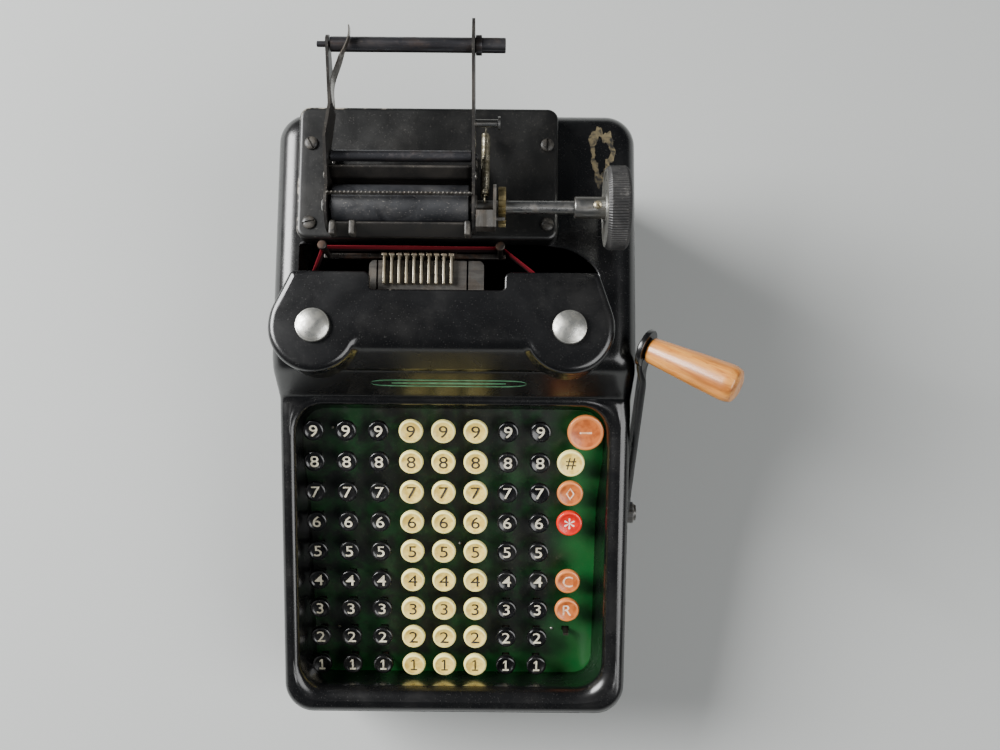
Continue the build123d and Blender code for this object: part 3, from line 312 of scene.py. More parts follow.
rubberBlack = paintMaterial("rubberBlack", {
    "colour": rgb(20, 21, 24), "second": rgb(36, 37, 40), "scale": 70.0, "rough": (0.4, 0.6),
    "dust": 0.6, "dustColour": rgb(110, 106, 100), "bump": 0.3})
screwBlack = paintMaterial("screwBlack", {
    "colour": rgb(30, 29, 28), "second": rgb(62, 58, 52), "scale": 260.0, "rough": (0.35, 0.6),
    "dust": 0.4, "bump": 0.3})
markCream = paintMaterial("markCream", {
    "colour": rgb(226, 220, 196), "second": rgb(168, 160, 138), "scale": 330.0, "rough": (0.45, 0.6),
    "contrast": 0.8, "bump": 0.05})
markDark = paintMaterial("markDark", {
    "colour": rgb(24, 21, 17), "second": rgb(58, 50, 38), "scale": 380.0, "rough": (0.45, 0.6), "bump": 0.05})
markWorn = paintMaterial("markWorn", {
    "colour": rgb(244, 222, 200), "second": rgb(222, 160, 116), "scale": 420.0, "rough": (0.45, 0.6),
    "contrast": 0.5, "bump": 0.05})
markWhite = paintMaterial("markWhite", {
    "colour": rgb(244, 232, 224), "second": rgb(232, 190, 176), "scale": 420.0, "rough": (0.4, 0.5),
    "bump": 0.05})
stripeGreen = paintMaterial("stripeGreen", {
    "colour": rgb(92, 150, 114), "second": rgb(64, 116, 82), "scale": 160.0, "rough": (0.35, 0.5),
    "bump": 0.05})

patchPaint = paintMaterial("patchPaint", {
    "colour": rgb(24, 23, 20), "second": rgb(104, 93, 66), "scale": 260.0, "rough": (0.5, 0.7),
    "contrast": 0.5,
    "bump": 0.4})

nickel = metalMaterial("nickel", {
    "bright": rgb(196, 196, 190), "dull": rgb(168, 167, 160), "stain": rgb(120, 116, 104), "stains": 0.35,
    "stretch": (1.0, 1.0, 0.2), "metallic": 0.9, "bump": 0.12})
steel = metalMaterial("steel", {
    "bright": rgb(168, 168, 166), "dull": rgb(122, 120, 116), "stain": rgb(78, 66, 52), "stains": 0.6,
    "stretch": (0.08, 1.0, 1.0), "dust": 0.25})
darkSteel = metalMaterial("darkSteel", {
    "bright": rgb(78, 75, 72), "dull": rgb(46, 43, 41), "stain": rgb(66, 44, 30), "stains": 0.8,
    "stretch": (1.0, 0.15, 0.15), "metallic": 0.75, "dust": 0.45})
wornSteel = metalMaterial("wornSteel", {
    "bright": rgb(150, 147, 142), "dull": rgb(96, 92, 86), "stain": rgb(58, 46, 36), "stains": 0.8,
    "stretch": (1.0, 0.15, 0.15), "metallic": 0.85, "dust": 0.35})
typeBrass = metalMaterial("typeBrass", {
    "bright": rgb(214, 204, 182), "dull": rgb(158, 148, 124), "stain": rgb(84, 70, 52), "stains": 0.5,
    "stretch": (1.0, 0.1, 0.3), "metallic": 0.85, "dust": 0.2})
typeBlockMetal = metalMaterial("typeBlockMetal", {
    "bright": rgb(112, 110, 106), "dull": rgb(78, 76, 74), "stain": rgb(54, 44, 34), "stains": 0.7,
    "stretch": (0.2, 1.0, 1.0), "metallic": 0.7, "dust": 0.4})
oliveBrass = metalMaterial("oliveBrass", {
    "bright": rgb(150, 136, 96), "dull": rgb(102, 92, 64), "stain": rgb(60, 50, 34), "stains": 0.6,
    "stretch": (1.0, 0.2, 0.2), "metallic": 0.8, "dust": 0.25})
springWire = metalMaterial("springWire", {
    "bright": rgb(170, 164, 146), "dull": rgb(110, 104, 84), "stain": rgb(74, 64, 44), "stains": 0.6,
    "stretch": (1.0, 1.0, 1.0), "dust": 0.2})
rollerSteel = metalMaterial("rollerSteel", {
    "bright": rgb(88, 88, 92), "dull": rgb(54, 53, 56), "stain": rgb(56, 42, 32), "stains": 0.5,
    "stretch": (0.06, 1.0, 1.0), "metallic": 0.85, "dust": 0.3})
print("finishes made")


def capMaterial(name, s):
    # moulded key plastic: the dish darker than the rim, by the mesh's own ring attribute
    material, tree, shader, place = startMaterial(name, coat=0.3, coatRoughness=0.14, specular=0.5)
    ring = node(tree, "ShaderNodeAttribute", attribute_name="ring").outputs["Fac"]
    inside = blendColour(tree, remap(tree, noise(tree, place, 230.0, 5.0), 0.4, 0.65), s["dish"], s["dirty"])
    colour = blendColour(tree, remap(tree, ring, s["rimFrom"], s["rimFrom"] + 0.1), inside, s["rim"])
    dust = useGroup(tree, dustGroup, Vector=place, Colour=colour, Roughness=0.3, Dust=s["dustColour"],
                    Amount=0.3)
    tree.links.new(dust["Colour"], shader.inputs["Base Color"])
    tree.links.new(dust["Roughness"], shader.inputs["Roughness"])
    addBump(tree, shader, noise(tree, place, 500.0, 3.0), 0.05, 0.0001)
    return material


creamPlastic = capMaterial("creamPlastic", {
    "rim": rgb(255, 242, 156), "dish": rgb(246, 216, 116), "dirty": rgb(214, 180, 84), "rimFrom": 0.76,
    "dustColour": rgb(150, 136, 96)})
orangePlastic = capMaterial("orangePlastic", {
    "rim": rgb(214, 128, 68), "dish": rgb(196, 106, 50), "dirty": rgb(162, 80, 34), "rimFrom": 0.74,
    "dustColour": rgb(150, 110, 80)})
redPlastic = capMaterial("redPlastic", {
    "rim": rgb(226, 40, 24), "dish": rgb(214, 28, 16), "dirty": rgb(184, 18, 12), "rimFrom": 0.74,
    "dustColour": rgb(160, 90, 80)})


def plateMaterial():
    # green key plate: grime and painted shade in one dark colour, thicker to the left among the keys and back
    # from the front edge
    s = {"green": rgb(18, 112, 44), "deep": rgb(12, 84, 34), "grimeAndShade": rgb(11, 15, 11), "from": 0.080,
         "to": 0.052}
    material, tree, shader, place = startMaterial("greenPlate", coat=0.2, coatRoughness=0.2)
    split = node(tree, "ShaderNodeSeparateXYZ", {"Vector": place}).outputs
    left = remap(tree, split["X"], s["to"] + casingMiddle[0], s["from"] + casingMiddle[0], 1.0, 0.06)
    behind = remap(tree, split["Y"], casingMiddle[1] - 0.1525, casingMiddle[1] - 0.140, 0.25, 1.0)
    cloud = remap(tree, noise(tree, place, 55.0, 6.0, 0.7, 0.5), 0.3, 0.6, 0.7, 1.0)
    # this mask is grime and painted shade together: its darkness among the keys and towards the rise stands
    # in for their shadows
    grimeAndShade = math2(tree, "MULTIPLY", math2(tree, "MULTIPLY", left, behind), cloud)
    green = blendColour(tree, noise(tree, place, 18.0, 3.0), s["green"], s["deep"])
    colour = blendColour(tree, grimeAndShade, green, s["grimeAndShade"])
    dust = useGroup(tree, dustGroup, Vector=place, Colour=colour, Roughness=0.42, Dust=rgb(88, 96, 70),
                    Amount=0.3)
    tree.links.new(dust["Colour"], shader.inputs["Base Color"])
    tree.links.new(dust["Roughness"], shader.inputs["Roughness"])
    addBump(tree, shader, noise(tree, place, 700.0, 3.0), 0.1, 0.0001)
    return material


def woodMaterial():
    # varnished grip: long grain in the mesh's own grip coordinates, darker in broad patches
    s = {"honey": rgb(194, 120, 46), "pale": rgb(214, 148, 70), "dark": rgb(128, 66, 22)}
    material, tree, shader, place = startMaterial("varnishedWood", coat=0.5, coatRoughness=0.18)
    grip = node(tree, "ShaderNodeAttribute", attribute_name="grain").outputs["Vector"]
    long = node(tree, "ShaderNodeMapping", {"Vector": grip, "Scale": (0.045, 1.0, 1.0)}).outputs[0]
    bands = noise(tree, long, 520.0, 5.0, 0.6, 0.7)
    broad = noise(tree, long, 120.0, 3.0, 0.5, 1.0)
    colour = blendColour(tree, remap(tree, bands, 0.35, 0.66), s["pale"], s["honey"])
    colour = blendColour(tree, remap(tree, broad, 0.45, 0.7, 0.0, 0.75), colour, s["dark"])
    pores = remap(tree, noise(tree, long, 2100.0, 2.0), 0.62, 0.7, 0.0, 0.6)
    colour = blendColour(tree, pores, colour, rgb(110, 62, 28))
    tree.links.new(colour, shader.inputs["Base Color"])
    tree.links.new(blendValue(tree, bands, 0.32, 0.5), shader.inputs["Roughness"])
    addBump(tree, shader, bands, 0.15, 0.0001)
    return material


def ribbonMaterial():
    # woven inked ribbon: fine weave, black above and dark red below along its own height
    s = {"red": rgb(124, 20, 34), "black": rgb(20, 14, 16)}
    material, tree, shader, place = startMaterial("inkedRibbon", specular=0.2)
    across = node(tree, "ShaderNodeAttribute", attribute_name="across").outputs["Fac"]
    weave = node(tree, "ShaderNodeTexWave", {"Vector": place, "Scale": 900.0, "Distortion": 0.6}).outputs[0]
    colour = blendColour(tree, remap(tree, across, 0.47, 0.53), s["black"], s["red"])
    colour = blendColour(tree, math2(tree, "MULTIPLY", weave, 0.35), colour, rgb(60, 14, 20))
    tree.links.new(colour, shader.inputs["Base Color"])
    tree.links.new(blendValue(tree, weave, 0.7, 0.9), shader.inputs["Roughness"])
    addBump(tree, shader, weave, 0.2, 0.00004)
    return material


greenPlate, varnishedWood, inkedRibbon = plateMaterial(), woodMaterial(), ribbonMaterial()


def gridFaces(rows, columns, closeRows=False, closeColumns=False):
    # the quads of a lattice as one array; a closed way runs its last line on to the first
    r = np.arange(rows if closeRows else rows - 1)
    c = np.arange(columns if closeColumns else columns - 1)
    r, c = (a.ravel() for a in np.meshgrid(r, c, indexing="ij"))
    r2, c2 = (r + 1) % rows, (c + 1) % columns
    return np.stack([r * columns + c, r * columns + c2, r2 * columns + c2, r2 * columns + c], 1)


def makePiece(name, parts, material, body, replaced=(), sharp=35.0, fill=(), merge=1e-6):
    # parts: (lattice in mm, closeRows, closeColumns, {attribute: lattice of values})
    # fill: rings closed by one face; body: None leaves the piece on no body
    points, faces, marks, start = [], [], {}, 0
    names = sorted({key for part in parts for key in part[3]})
    for lattice, closeRows, closeColumns, values in parts:
        rows, columns = lattice.shape[:2]
        quads = gridFaces(rows, columns, closeRows, closeColumns)
        if "drop" in values:
            quads = quads[~values["drop"].ravel()[:len(quads)]]
        faces.append(quads + start)
        points.append(lattice.reshape(-1, 3))
        for key in names:
            if key != "drop":
                value = np.asarray(values.get(key, 0.0), float)
                shape = (rows, columns, 3) if value.ndim == 3 else (rows, columns)
                marks.setdefault(key, []).append(np.broadcast_to(value, shape).reshape(rows * columns, -1))
        start += rows * columns
    points = toFrame(np.concatenate(points))
    polygons = np.concatenate(faces).tolist() + [list(ring) for ring in fill]
    mesh = bpy.data.meshes.new(name)
    mesh.from_pydata(points, [], polygons)
    for key, values in marks.items():
        values = np.concatenate(values)
        kind = "FLOAT_VECTOR" if values.shape[1] == 3 else "FLOAT"
        field = "vector" if values.shape[1] == 3 else "value"
        mesh.attributes.new(key, kind, "POINT").data.foreach_set(field, values.ravel().astype(np.float32))
    work = bmesh.new()
    work.from_mesh(mesh)
    bmesh.ops.remove_doubles(work, verts=work.verts, dist=merge)
    bmesh.ops.dissolve_degenerate(work, edges=work.edges, dist=merge)
    bmesh.ops.recalc_face_normals(work, faces=work.faces)
    work.to_mesh(mesh)
    work.free()
    mesh.shade_smooth()
    mesh.set_sharp_from_angle(angle=math.radians(sharp))
    mesh.materials.append(material)
    piece = bpy.data.objects.new(name, mesh)
    bpy.context.scene.collection.objects.link(piece)
    if body:
        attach(piece, body)
    if replaced:
        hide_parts(*replaced)
    return piece


def thicken(piece, amount, offset=-1.0):
    solid = piece.modifiers.new("wall", "SOLIDIFY")
    solid.thickness, solid.offset, solid.use_even_offset = amount * 0.001, offset, False


def softPath(corners, radii, steps=6):
    # a polyline whose inner corners become arcs of the radii given
    corners = np.asarray(corners, float)
    path = [corners[:1]]
    for before, corner, after, radius in zip(corners[:-2], corners[1:-1], corners[2:], radii):
        a, b = before - corner, after - corner
        a, b = a / np.linalg.norm(a), b / np.linalg.norm(b)
        half = math.acos(np.clip(a @ b, -1, 1)) / 2
        if radius <= 0 or half > 1.56:
            path.append(corner[None])
            continue
        reach = radius / math.tan(half)
        middle = corner + (a + b) / np.linalg.norm(a + b) * radius / math.sin(half)
        u, v = corner + a * reach - middle, corner + b * reach - middle
        turn = math.acos(np.clip(u @ v / radius ** 2, -1, 1))
        t = np.linspace(0, 1, steps + 1)[:, None]
        path.append(middle + (np.sin((1 - t) * turn) * u + np.sin(t * turn) * v) / math.sin(turn))
    return np.concatenate(path + [corners[-1:]])


def axes(direction, side=None):
    # three unit vectors: along the direction and two across it
    along = np.asarray(direction, float) / np.linalg.norm(direction)
    side = np.asarray(side if side is not None else ((0, 0, 1) if abs(along[2]) < 0.9 else (1, 0, 0)), float)
    side = side - along * (side @ along)
    side = side / np.linalg.norm(side)
    return along, side, np.cross(along, side)


def turned(profile, origin, direction, count=48, flutes=0, fluteDepth=0.0, fluteFrom=None, values=None):
    # a profile of (distance along the axis, radius) turned once round it, the rim fluted where asked
    profile = np.asarray(profile, float)
    along, side, other = axes(direction)
    angle = np.linspace(0, 2 * math.pi, count, endpoint=False)[None, :]
    reach, radius = profile[:, :1], profile[:, 1:] * np.ones_like(angle)
    if flutes:
        rim = np.clip((profile[:, 1:] - fluteFrom) / 0.5, 0, 1)
        radius = radius - fluteDepth * rim * (0.5 - 0.5 * np.cos(angle * flutes))
    lattice = (np.asarray(origin, float) + reach[..., None] * along
               + (radius * np.cos(angle))[..., None] * side + (radius * np.sin(angle))[..., None] * other)
    marks = {key: np.broadcast_to(np.asarray(value, float)[:, None], radius.shape)
             for key, value in (values or {}).items()}
    return lattice, False, True, marks


def rod(start, end, radius, chamfer=0.3, count=32):
    # a round bar between two points with its ends chamfered and closed
    length = float(np.linalg.norm(np.subtract(end, start)))
    profile = [(0, 0), (0, radius - chamfer), (chamfer, radius), (length - chamfer, radius),
               (length, radius - chamfer), (length, 0)]
    return turned(profile, start, np.subtract(end, start), count)


def tube(path, radius, sides=8):
    # a circle carried along a path; its frame is turned as little as possible from point to point
    path = np.asarray(path, float)
    tangent = np.gradient(path, axis=0)
    tangent /= np.linalg.norm(tangent, axis=1)[:, None]
    up = np.array([1.0, 0.0, 0.0]) if abs(tangent[0][0]) < 0.9 else np.array([0.0, 0.0, 1.0])
    normals = []
    for t in tangent:
        up = up - t * (up @ t)
        up = up / np.linalg.norm(up)
        normals.append(up)
    normals = np.array(normals)
    other = np.cross(tangent, normals)
    angle = np.linspace(0, 2 * math.pi, sides, endpoint=False)
    radius = np.broadcast_to(np.asarray(radius, float), (len(path),))[:, None, None]
    ring = np.cos(angle)[None, :, None] * normals[:, None] + np.sin(angle)[None, :, None] * other[:, None]
    first, last = (np.repeat(path[i][None, None], sides, 1) for i in (0, -1))
    return np.concatenate([first, path[:, None] + radius * ring, last]), False, True, {}


def roundedBox(low, high, radius, steps=3):
    # a box with rounded edges: insets of one plan outline, each at its own height
    low, high = np.asarray(low, float), np.asarray(high, float)
    angle = np.linspace(0, math.pi / 2, steps + 1)
    turn = np.concatenate([angle + k * math.pi / 2 for k in range(4)])
    middle, half = (low + high) / 2, (high - low) / 2
    signX = np.repeat([1, -1, -1, 1], steps + 1)
    signY = np.repeat([1, 1, -1, -1], steps + 1)
    roll = min(radius, half[2])
    inset = np.concatenate([[half.min()], roll * (1 - np.sin(angle)), roll * (1 - np.cos(angle)),
                            [half.min()]])
    height = np.concatenate([[high[2]], high[2] - roll * (1 - np.cos(angle)),
                             low[2] + roll * (1 - np.sin(angle)), [low[2]]])
    corner = np.maximum(radius - inset, 0.0)[:, None]
    x = middle[0] + signX * np.maximum(half[0] - inset[:, None] - corner, 0) + corner * np.cos(turn)
    y = middle[1] + signY * np.maximum(half[1] - inset[:, None] - corner, 0) + corner * np.sin(turn)
    z = height[:, None] * np.ones_like(x)
    edge = np.where((inset > 0.02 * roll) & (inset < half.min()), 1.0, 0.0)[:, None] * np.ones_like(x)
    return np.stack([x, y, z], -1), False, True, {"edge": edge}


casing = {
    "width": 203.0, "depth": 345.0, "inset": 0.1,  # the inset keeps the wall's thickness inside its size
    "corner": 17.0, "foot": 8.0, "rimRadius": 5.8, "shoulder": 13.0,
    "front": 85.0, "riseFootY": 11.5, "riseFootZ": 132.0, "deckY": 27.3, "deck": 163.0,
    "hollow": 7.0, "brow": 13.0,  # the rounding at the rise's foot and at its top
    "well": (-92.0, 88.0, -157.0, 8.0), "wellCorner": 15.0, "wellRoll": 3.4, "rollRight": 4.0,
    "rollFront": 4.5,
    "crown": 0.35, "lean": 3.6, "wall": 2.2,
    "slot": (-86.0, 80.0, 60.0, 94.2), "sweep": (50.0, 76.0), "joinY": 12.0}
plate = {"y": -142.8, "z": 50.0, "slope": math.radians(21.8), "height": 14.0}
riseSlope = (casing["deck"] - casing["riseFootZ"]) / (casing["deckY"] - casing["riseFootY"])
topLine = softPath(
    [(-180.0, casing["front"] - 7.5 * 0.2554), (casing["riseFootY"], casing["riseFootZ"]),
     (casing["deckY"], casing["deck"]), (180.0, casing["deck"])], (casing["hollow"], casing["brow"]), 14)


def topHeight(y):
    # the casing's top seen from the side: tub, rise and deck
    return np.interp(y, topLine[:, 0], topLine[:, 1])


def plateHeight(y):
    return plate["z"] + (y - plate["y"]) * math.tan(plate["slope"])


def edgeRadius(y):
    t = np.clip((y - 6.0) / 24.0, 0, 1)
    return casing["rimRadius"] + (casing["shoulder"] - casing["rimRadius"]) * t * t * (3 - 2 * t)


def deckColumns(y, reach):
    # the columns of the deck's lattice in one row: left strip, over the type slot, right strip
    left, right, front, rear = casing["slot"]
    sweepX, sweepY = casing["sweep"]
    t = np.clip((y - sweepY) / (rear - sweepY), 0, 1)
    swept = right - (right - sweepX) * (1 - np.sqrt(np.clip(1 - t ** 1.6, 0, 1)))
    back = np.clip((y - rear) / 50.0, 0, 1)
    xLeft = left + back * 26.0
    xRight = swept if y <= rear else sweepX + back * 8.0
    return np.concatenate([np.linspace(-reach, xLeft, 6)[:-1], np.linspace(xLeft, xRight, 31)[:-1],
                           np.linspace(xRight, reach, 8)])


def makeCasing():
    s = casing
    halfX, halfY, corner = s["width"] / 2 - s["inset"], s["depth"] / 2 - s["inset"], s["corner"]
    left, right, front, rear = s["slot"]
    sideY = np.concatenate([np.linspace(-(halfY - corner), 6, 30), np.linspace(8, 38, 31),
                            np.linspace(42, front, 4), np.linspace(front, s["sweep"][1], 5)[1:],
                            np.linspace(s["sweep"][1], rear, 13)[1:], np.linspace(100, halfY - corner, 10)])
    arc = np.linspace(0, math.pi / 2, 13)[1:-1]
    rearX = deckColumns(halfY - s["shoulder"], halfX - corner)[::-1]
    frontX = np.linspace(-(halfX - corner), halfX - corner, 31)
    one = np.ones
    # the plan outline and its outward normal, run once round from the front left
    x = np.concatenate([frontX, halfX - corner + corner * np.sin(arc), halfX * one(len(sideY)),
                        halfX - corner + corner * np.cos(arc), rearX,
                        -(halfX - corner) - corner * np.sin(arc),
                        -halfX * one(len(sideY)), -(halfX - corner) - corner * np.cos(arc)])
    y = np.concatenate([-halfY * one(len(frontX)), -(halfY - corner) - corner * np.cos(arc), sideY,
                        halfY - corner + corner * np.sin(arc), halfY * one(len(rearX)),
                        halfY - corner + corner * np.cos(arc), sideY[::-1],
                        -(halfY - corner) - corner * np.sin(arc)])
    normal = np.stack([x - np.clip(x, -(halfX - corner), halfX - corner),
                       y - np.clip(y, -(halfY - corner), halfY - corner)], 1)
    normal /= np.linalg.norm(normal, axis=1)[:, None]
    radius = edgeRadius(y)
    outline = np.stack([x, y], 1)
    # skirt: a hem at the foot, the wall, then the shoulder's arc
    rows = []
    wallTop = topHeight(y - normal[:, 1] * radius) - radius
    for t, tuck in ((0.0, 1.4), (0.0, 0.5), (0.006, 0.0), (0.33, 0.0), (0.66, 0.0), (1.0, 0.0)):
        rows.append(np.column_stack([outline - normal * tuck, s["foot"] + (wallTop - s["foot"]) * t]))
    for a in np.linspace(0, math.pi / 2, 11)[1:]:
        moved = outline - normal * (radius * (1 - math.cos(a)))[:, None]
        rows.append(np.column_stack([moved, topHeight(moved[:, 1]) - radius * (1 - math.sin(a))]))
    skirt = np.array(rows)
    worn = np.zeros(skirt.shape[:2])
    worn[7:13] = 0.55
    rim = skirt[-1]
    # tub top: from the shoulder to the well's roll, each point led to the nearest place on the well's outline
    cut = np.where(rim[:, 1] < s["joinY"] + 1e-6)[0]
    onRight, onLeft = cut[cut < len(x) // 2], cut[cut >= len(x) // 2]
    crossing = deckColumns(s["joinY"], rim[onRight[-1], 0])
    crossingPoints = np.column_stack([crossing[::-1], np.full(len(crossing), s["joinY"])])[1:-1]
    outer = np.concatenate([rim[onRight, :2], crossingPoints, rim[onLeft, :2]])
    x0, x1, y0, y1 = s["well"]
    core = s["wellCorner"]
    nearest = np.stack([np.clip(outer[:, 0], x0 + core, x1 - core),
                        np.clip(outer[:, 1], y0 + core, y1 - core)], 1)
    out = outer - nearest
    out /= np.linalg.norm(out, axis=1)[:, None]
    # the roll is broader on the right and at the front, where the rim is wider
    roll = s["wellRoll"] + s["rollRight"] * np.clip(out[:, 0], 0, 1) ** 2
    roll = roll + s["rollFront"] * np.clip(-out[:, 1], 0, 1) ** 2
    inner = nearest + out * (core + roll)[:, None]
    rows = []
    for t in np.linspace(0, 1, 7):
        p = outer + (inner - outer) * t
        rows.append(np.column_stack([p, topHeight(p[:, 1]) + s["crown"] * math.sin(math.pi * t) ** 2]))
    for a in np.linspace(0, math.pi / 2, 9)[1:]:
        p = inner - out * (roll * math.sin(a))[:, None]
        rows.append(np.column_stack([p, topHeight(inner[:, 1]) - roll * (1 - math.cos(a))]))
    last = rows[-1]
    floor = plateHeight(last[:, 1]) - 1.2
    # the wall leans in at its foot, at the front and along the sides
    lean = s["lean"] * np.clip(-(last[:, 1] + 18.0) / 30.0, 0.08, 1)
    for t in (0.25, 0.5, 0.75, 1.0):
        p = last[:, :2] - out * (lean * t ** 2)[:, None]
        rows.append(np.column_stack([p, last[:, 2] + (floor - last[:, 2]) * t]))
    tub = np.array(rows)
    tubWorn = np.zeros(tub.shape[:2])
    tubWorn[7:13] = 0.6
    # deck: rows across the casing from the tub to the rear shoulder, the type slot left open
    half = np.where((rim[:, 0] > 0) & (rim[:, 1] >= s["joinY"] - 1e-6))[0]
    half = half[np.argsort(rim[half, 1], kind="stable")]
    half = half[: np.searchsorted(rim[half, 1], halfY - s["shoulder"] - 1e-6) + 1]
    edge = rim[half]
    edge[-1, 0] = halfX - corner
    deck = np.array([np.column_stack([deckColumns(v, u), np.full(43, v), np.full(43, topHeight(v))])
                     for u, v in edge[:, :2]])
    middle = (deck[:-1, :-1] + deck[1:, 1:]) / 2
    column = np.arange(42)[None, :] * np.ones((len(edge) - 1, 1))
    drop = (column >= 5) & (column < 35) & (middle[..., 1] > front) & (middle[..., 1] < rear)
    piece = makePiece("casingShell", [(skirt, False, True, {"edge": worn}),
                                      (tub, False, True, {"edge": tubWorn}),
                                      (deck, False, False, {"edge": 0.0, "drop": drop})],
                      blackEnamel, "frame", ["housing"], sharp=50.0, merge=2e-5)
    thicken(piece, s["wall"])


makeCasing()
print("casing made")


cover = {
    "top": 180.0, "leftEar": (-74.3, 45.5), "rightEar": (62.6, 45.5), "ear": 24.75, "rear": 75.4,
    "leftX": -88.7, "rightX": 79.6, "notch": (-44.7, 27.7, 65.6), "corner": 3.5,
    "frontY": 35.96, "roll": 4.2, "frontRoll": 11.0, "rearRoll": 1.2, "hollow": 6.0, "wall": 1.2,
    "lift": 0.35}


def arcPoints(centre, radius, start, end, count):
    # a circle's arc, one row for each radius given, angles in degrees
    angle = np.radians(np.linspace(start, end, count))[None, :]
    radius = np.asarray(radius, float).reshape(-1, 1)
    return np.stack([centre[0] + radius * np.cos(angle), centre[1] + radius * np.sin(angle)], -1)


def coverOutline(frontLine, inset, rearInset):
    # one row a level, counter-clockwise: rear left corner, left ear, hollow, front, hollow, right ear,
    # rear, notch; with it how much each point belongs to the front and to the rear
    s = cover
    ear = s["ear"] - inset

    def side(earPlace, cornerX, tangent, sign, reverse):
        corner = (cornerX, s["rear"] - s["corner"])
        round1 = arcPoints(corner, np.maximum(s["corner"] - inset, 0.05), 90, tangent, 6)
        fillet = s["hollow"] + inset
        fall = frontLine - fillet - earPlace[1]
        across = np.sqrt(np.maximum((ear + fillet) ** 2 - fall ** 2, 0.0))
        join = np.degrees(np.arctan2(fall, across * sign))
        end = np.where(sign > 0, join + 360.0, join)
        t = np.linspace(0, 1, 44)[None, :]
        turn = np.radians(tangent + (end[:, None] - tangent) * t)
        round2 = np.array(earPlace) + ear[:, None, None] * np.stack([np.cos(turn), np.sin(turn)], -1)
        centre = np.stack([earPlace[0] + sign * across, frontLine - fillet], -1)
        back = np.degrees(np.arctan2(-fall, -sign * across))
        t = np.linspace(0, 1, 12)[None, 1:]
        turn = np.radians(back[:, None] + (90.0 - back[:, None]) * t)
        round3 = centre[:, None] + fillet[:, None, None] * np.stack([np.cos(turn), np.sin(turn)], -1)
        line = np.concatenate([round1, round2, round3], 1)
        weight = np.concatenate([np.zeros(50), np.linspace(0, 1, 12)[1:]])
        rear = np.concatenate([np.linspace(1, 0, 12), np.zeros(49)])
        if reverse:
            return line[:, ::-1], weight[::-1], rear[::-1]
        return line, weight, rear

    leftLine = side(s["leftEar"], s["leftX"] + s["corner"], 154.3, 1.0, False)
    rightLine = side(s["rightEar"], s["rightX"] - s["corner"], 18.7, -1.0, True)
    start, end = leftLine[0][:, -1], rightLine[0][:, 0]
    t = np.linspace(0, 1, 15)[None, 1:-1, None]
    middle = start[:, None] + (end - start)[:, None] * t
    notchLeft, notchRight, notchY = s["notch"]
    r = s["corner"]
    y = s["rear"] - rearInset
    yNotch = notchY - rearInset

    def column(xs, ys):
        return np.stack([np.broadcast_to(np.asarray(a, float), y.shape) for a in (xs, ys)], -1)

    rear = [column(s["rightX"] - r - 8, y), column(notchRight + r + 8, y)]
    cornerR = arcPoints((notchRight + r, s["rear"] - r), np.maximum(r - rearInset, 0.05), 90, 180, 6)
    cornerL = arcPoints((notchLeft - r, s["rear"] - r), np.maximum(r - rearInset, 0.05), 0, 90, 6)
    inside = 2.0 + rearInset
    angle = np.radians(np.linspace(0, -90, 6))[None, :]
    hollowR = np.stack([(notchRight + rearInset - inside)[:, None] + inside[:, None] * np.cos(angle),
                        (yNotch + inside)[:, None] + inside[:, None] * np.sin(angle)], -1)
    hollowL = np.stack([(notchLeft - rearInset + inside)[:, None] - inside[:, None] * np.cos(angle),
                        (yNotch + inside)[:, None] + inside[:, None] * np.sin(angle)], -1)[:, ::-1]
    notchLine = [column(notchRight - 12, yNotch), column((notchLeft + notchRight) / 2, yNotch),
                 column(notchLeft + 12, yNotch)]
    rear2 = [column(notchLeft - r - 8, y), column(s["leftX"] + r + 8, y)]
    backLine = np.concatenate([np.stack(rear, 1), cornerR, hollowR, np.stack(notchLine, 1), hollowL, cornerL,
                               np.stack(rear2, 1)], 1)
    line = np.concatenate([leftLine[0], middle, rightLine[0], backLine], 1)
    weight = np.concatenate([leftLine[1], np.ones(13), rightLine[1], np.zeros(backLine.shape[1])])
    rearness = np.concatenate([leftLine[2], np.zeros(13), rightLine[2], np.ones(backLine.shape[1])])
    return line, weight, rearness


def makeCover():
    s = cover
    steps = 9
    slopeTurn = math.radians(63.0) / (math.pi / 2)
    t = np.linspace(0, 1, steps)
    a = t * math.pi / 2
    frontCentre = s["frontY"] + s["frontRoll"] * math.tan(math.radians(31.5))
    frontRow = frontCentre - s["frontRoll"] * np.sin(a * slopeTurn)
    insetRow = s["roll"] * (1 - np.sin(a))
    rearRow = s["rearRoll"] * (1 - np.sin(a))
    line, weight, rearness = coverOutline(frontRow, insetRow, rearRow)
    roll = s["roll"] + (s["rearRoll"] - s["roll"]) * rearness + (s["frontRoll"] - s["roll"]) * weight
    drop = roll * (1 - np.cos(a[:, None] * (1 + (slopeTurn - 1) * weight)))
    rollLevels = np.concatenate([line, (s["top"] - drop)[..., None]], -1)
    # walls: down to the casing at the front and round the ears, a short lip at the rear
    wallRows = 9
    t = np.linspace(0, 1, wallRows)[1:]
    topFront = rollLevels[-1, 64, 2]
    lowFront = 157.0
    frontZ = topFront + (lowFront - topFront) * t
    frontWall = casing["riseFootY"] + (frontZ - casing["riseFootZ"]) / riseSlope
    wall, _, _ = coverOutline(frontWall, np.zeros(len(t)), np.zeros(len(t)))
    foot = topHeight(wall[-1, :, 1]) + s["lift"]
    foot = foot + (s["top"] - 2.6 - foot) * np.clip(rearness * 1.6 - 0.3, 0, 1)
    z0 = rollLevels[-1, :, 2]
    z = z0 + (foot - z0) * t[:, None]
    wallLevels = np.concatenate([wall, z[..., None]], -1)
    lattice = np.concatenate([rollLevels, wallLevels])
    worn = np.zeros(lattice.shape[:2])
    worn[2:8] = 0.42 + 0.5 * rearness
    count = lattice.shape[1]
    piece = makePiece("spoolCoverShell", [(lattice, False, True, {"edge": worn})], blackEnamel, "cover",
                      ["spool_cover"], sharp=50.0, fill=[range(count)], merge=1e-6)
    thicken(piece, s["wall"])


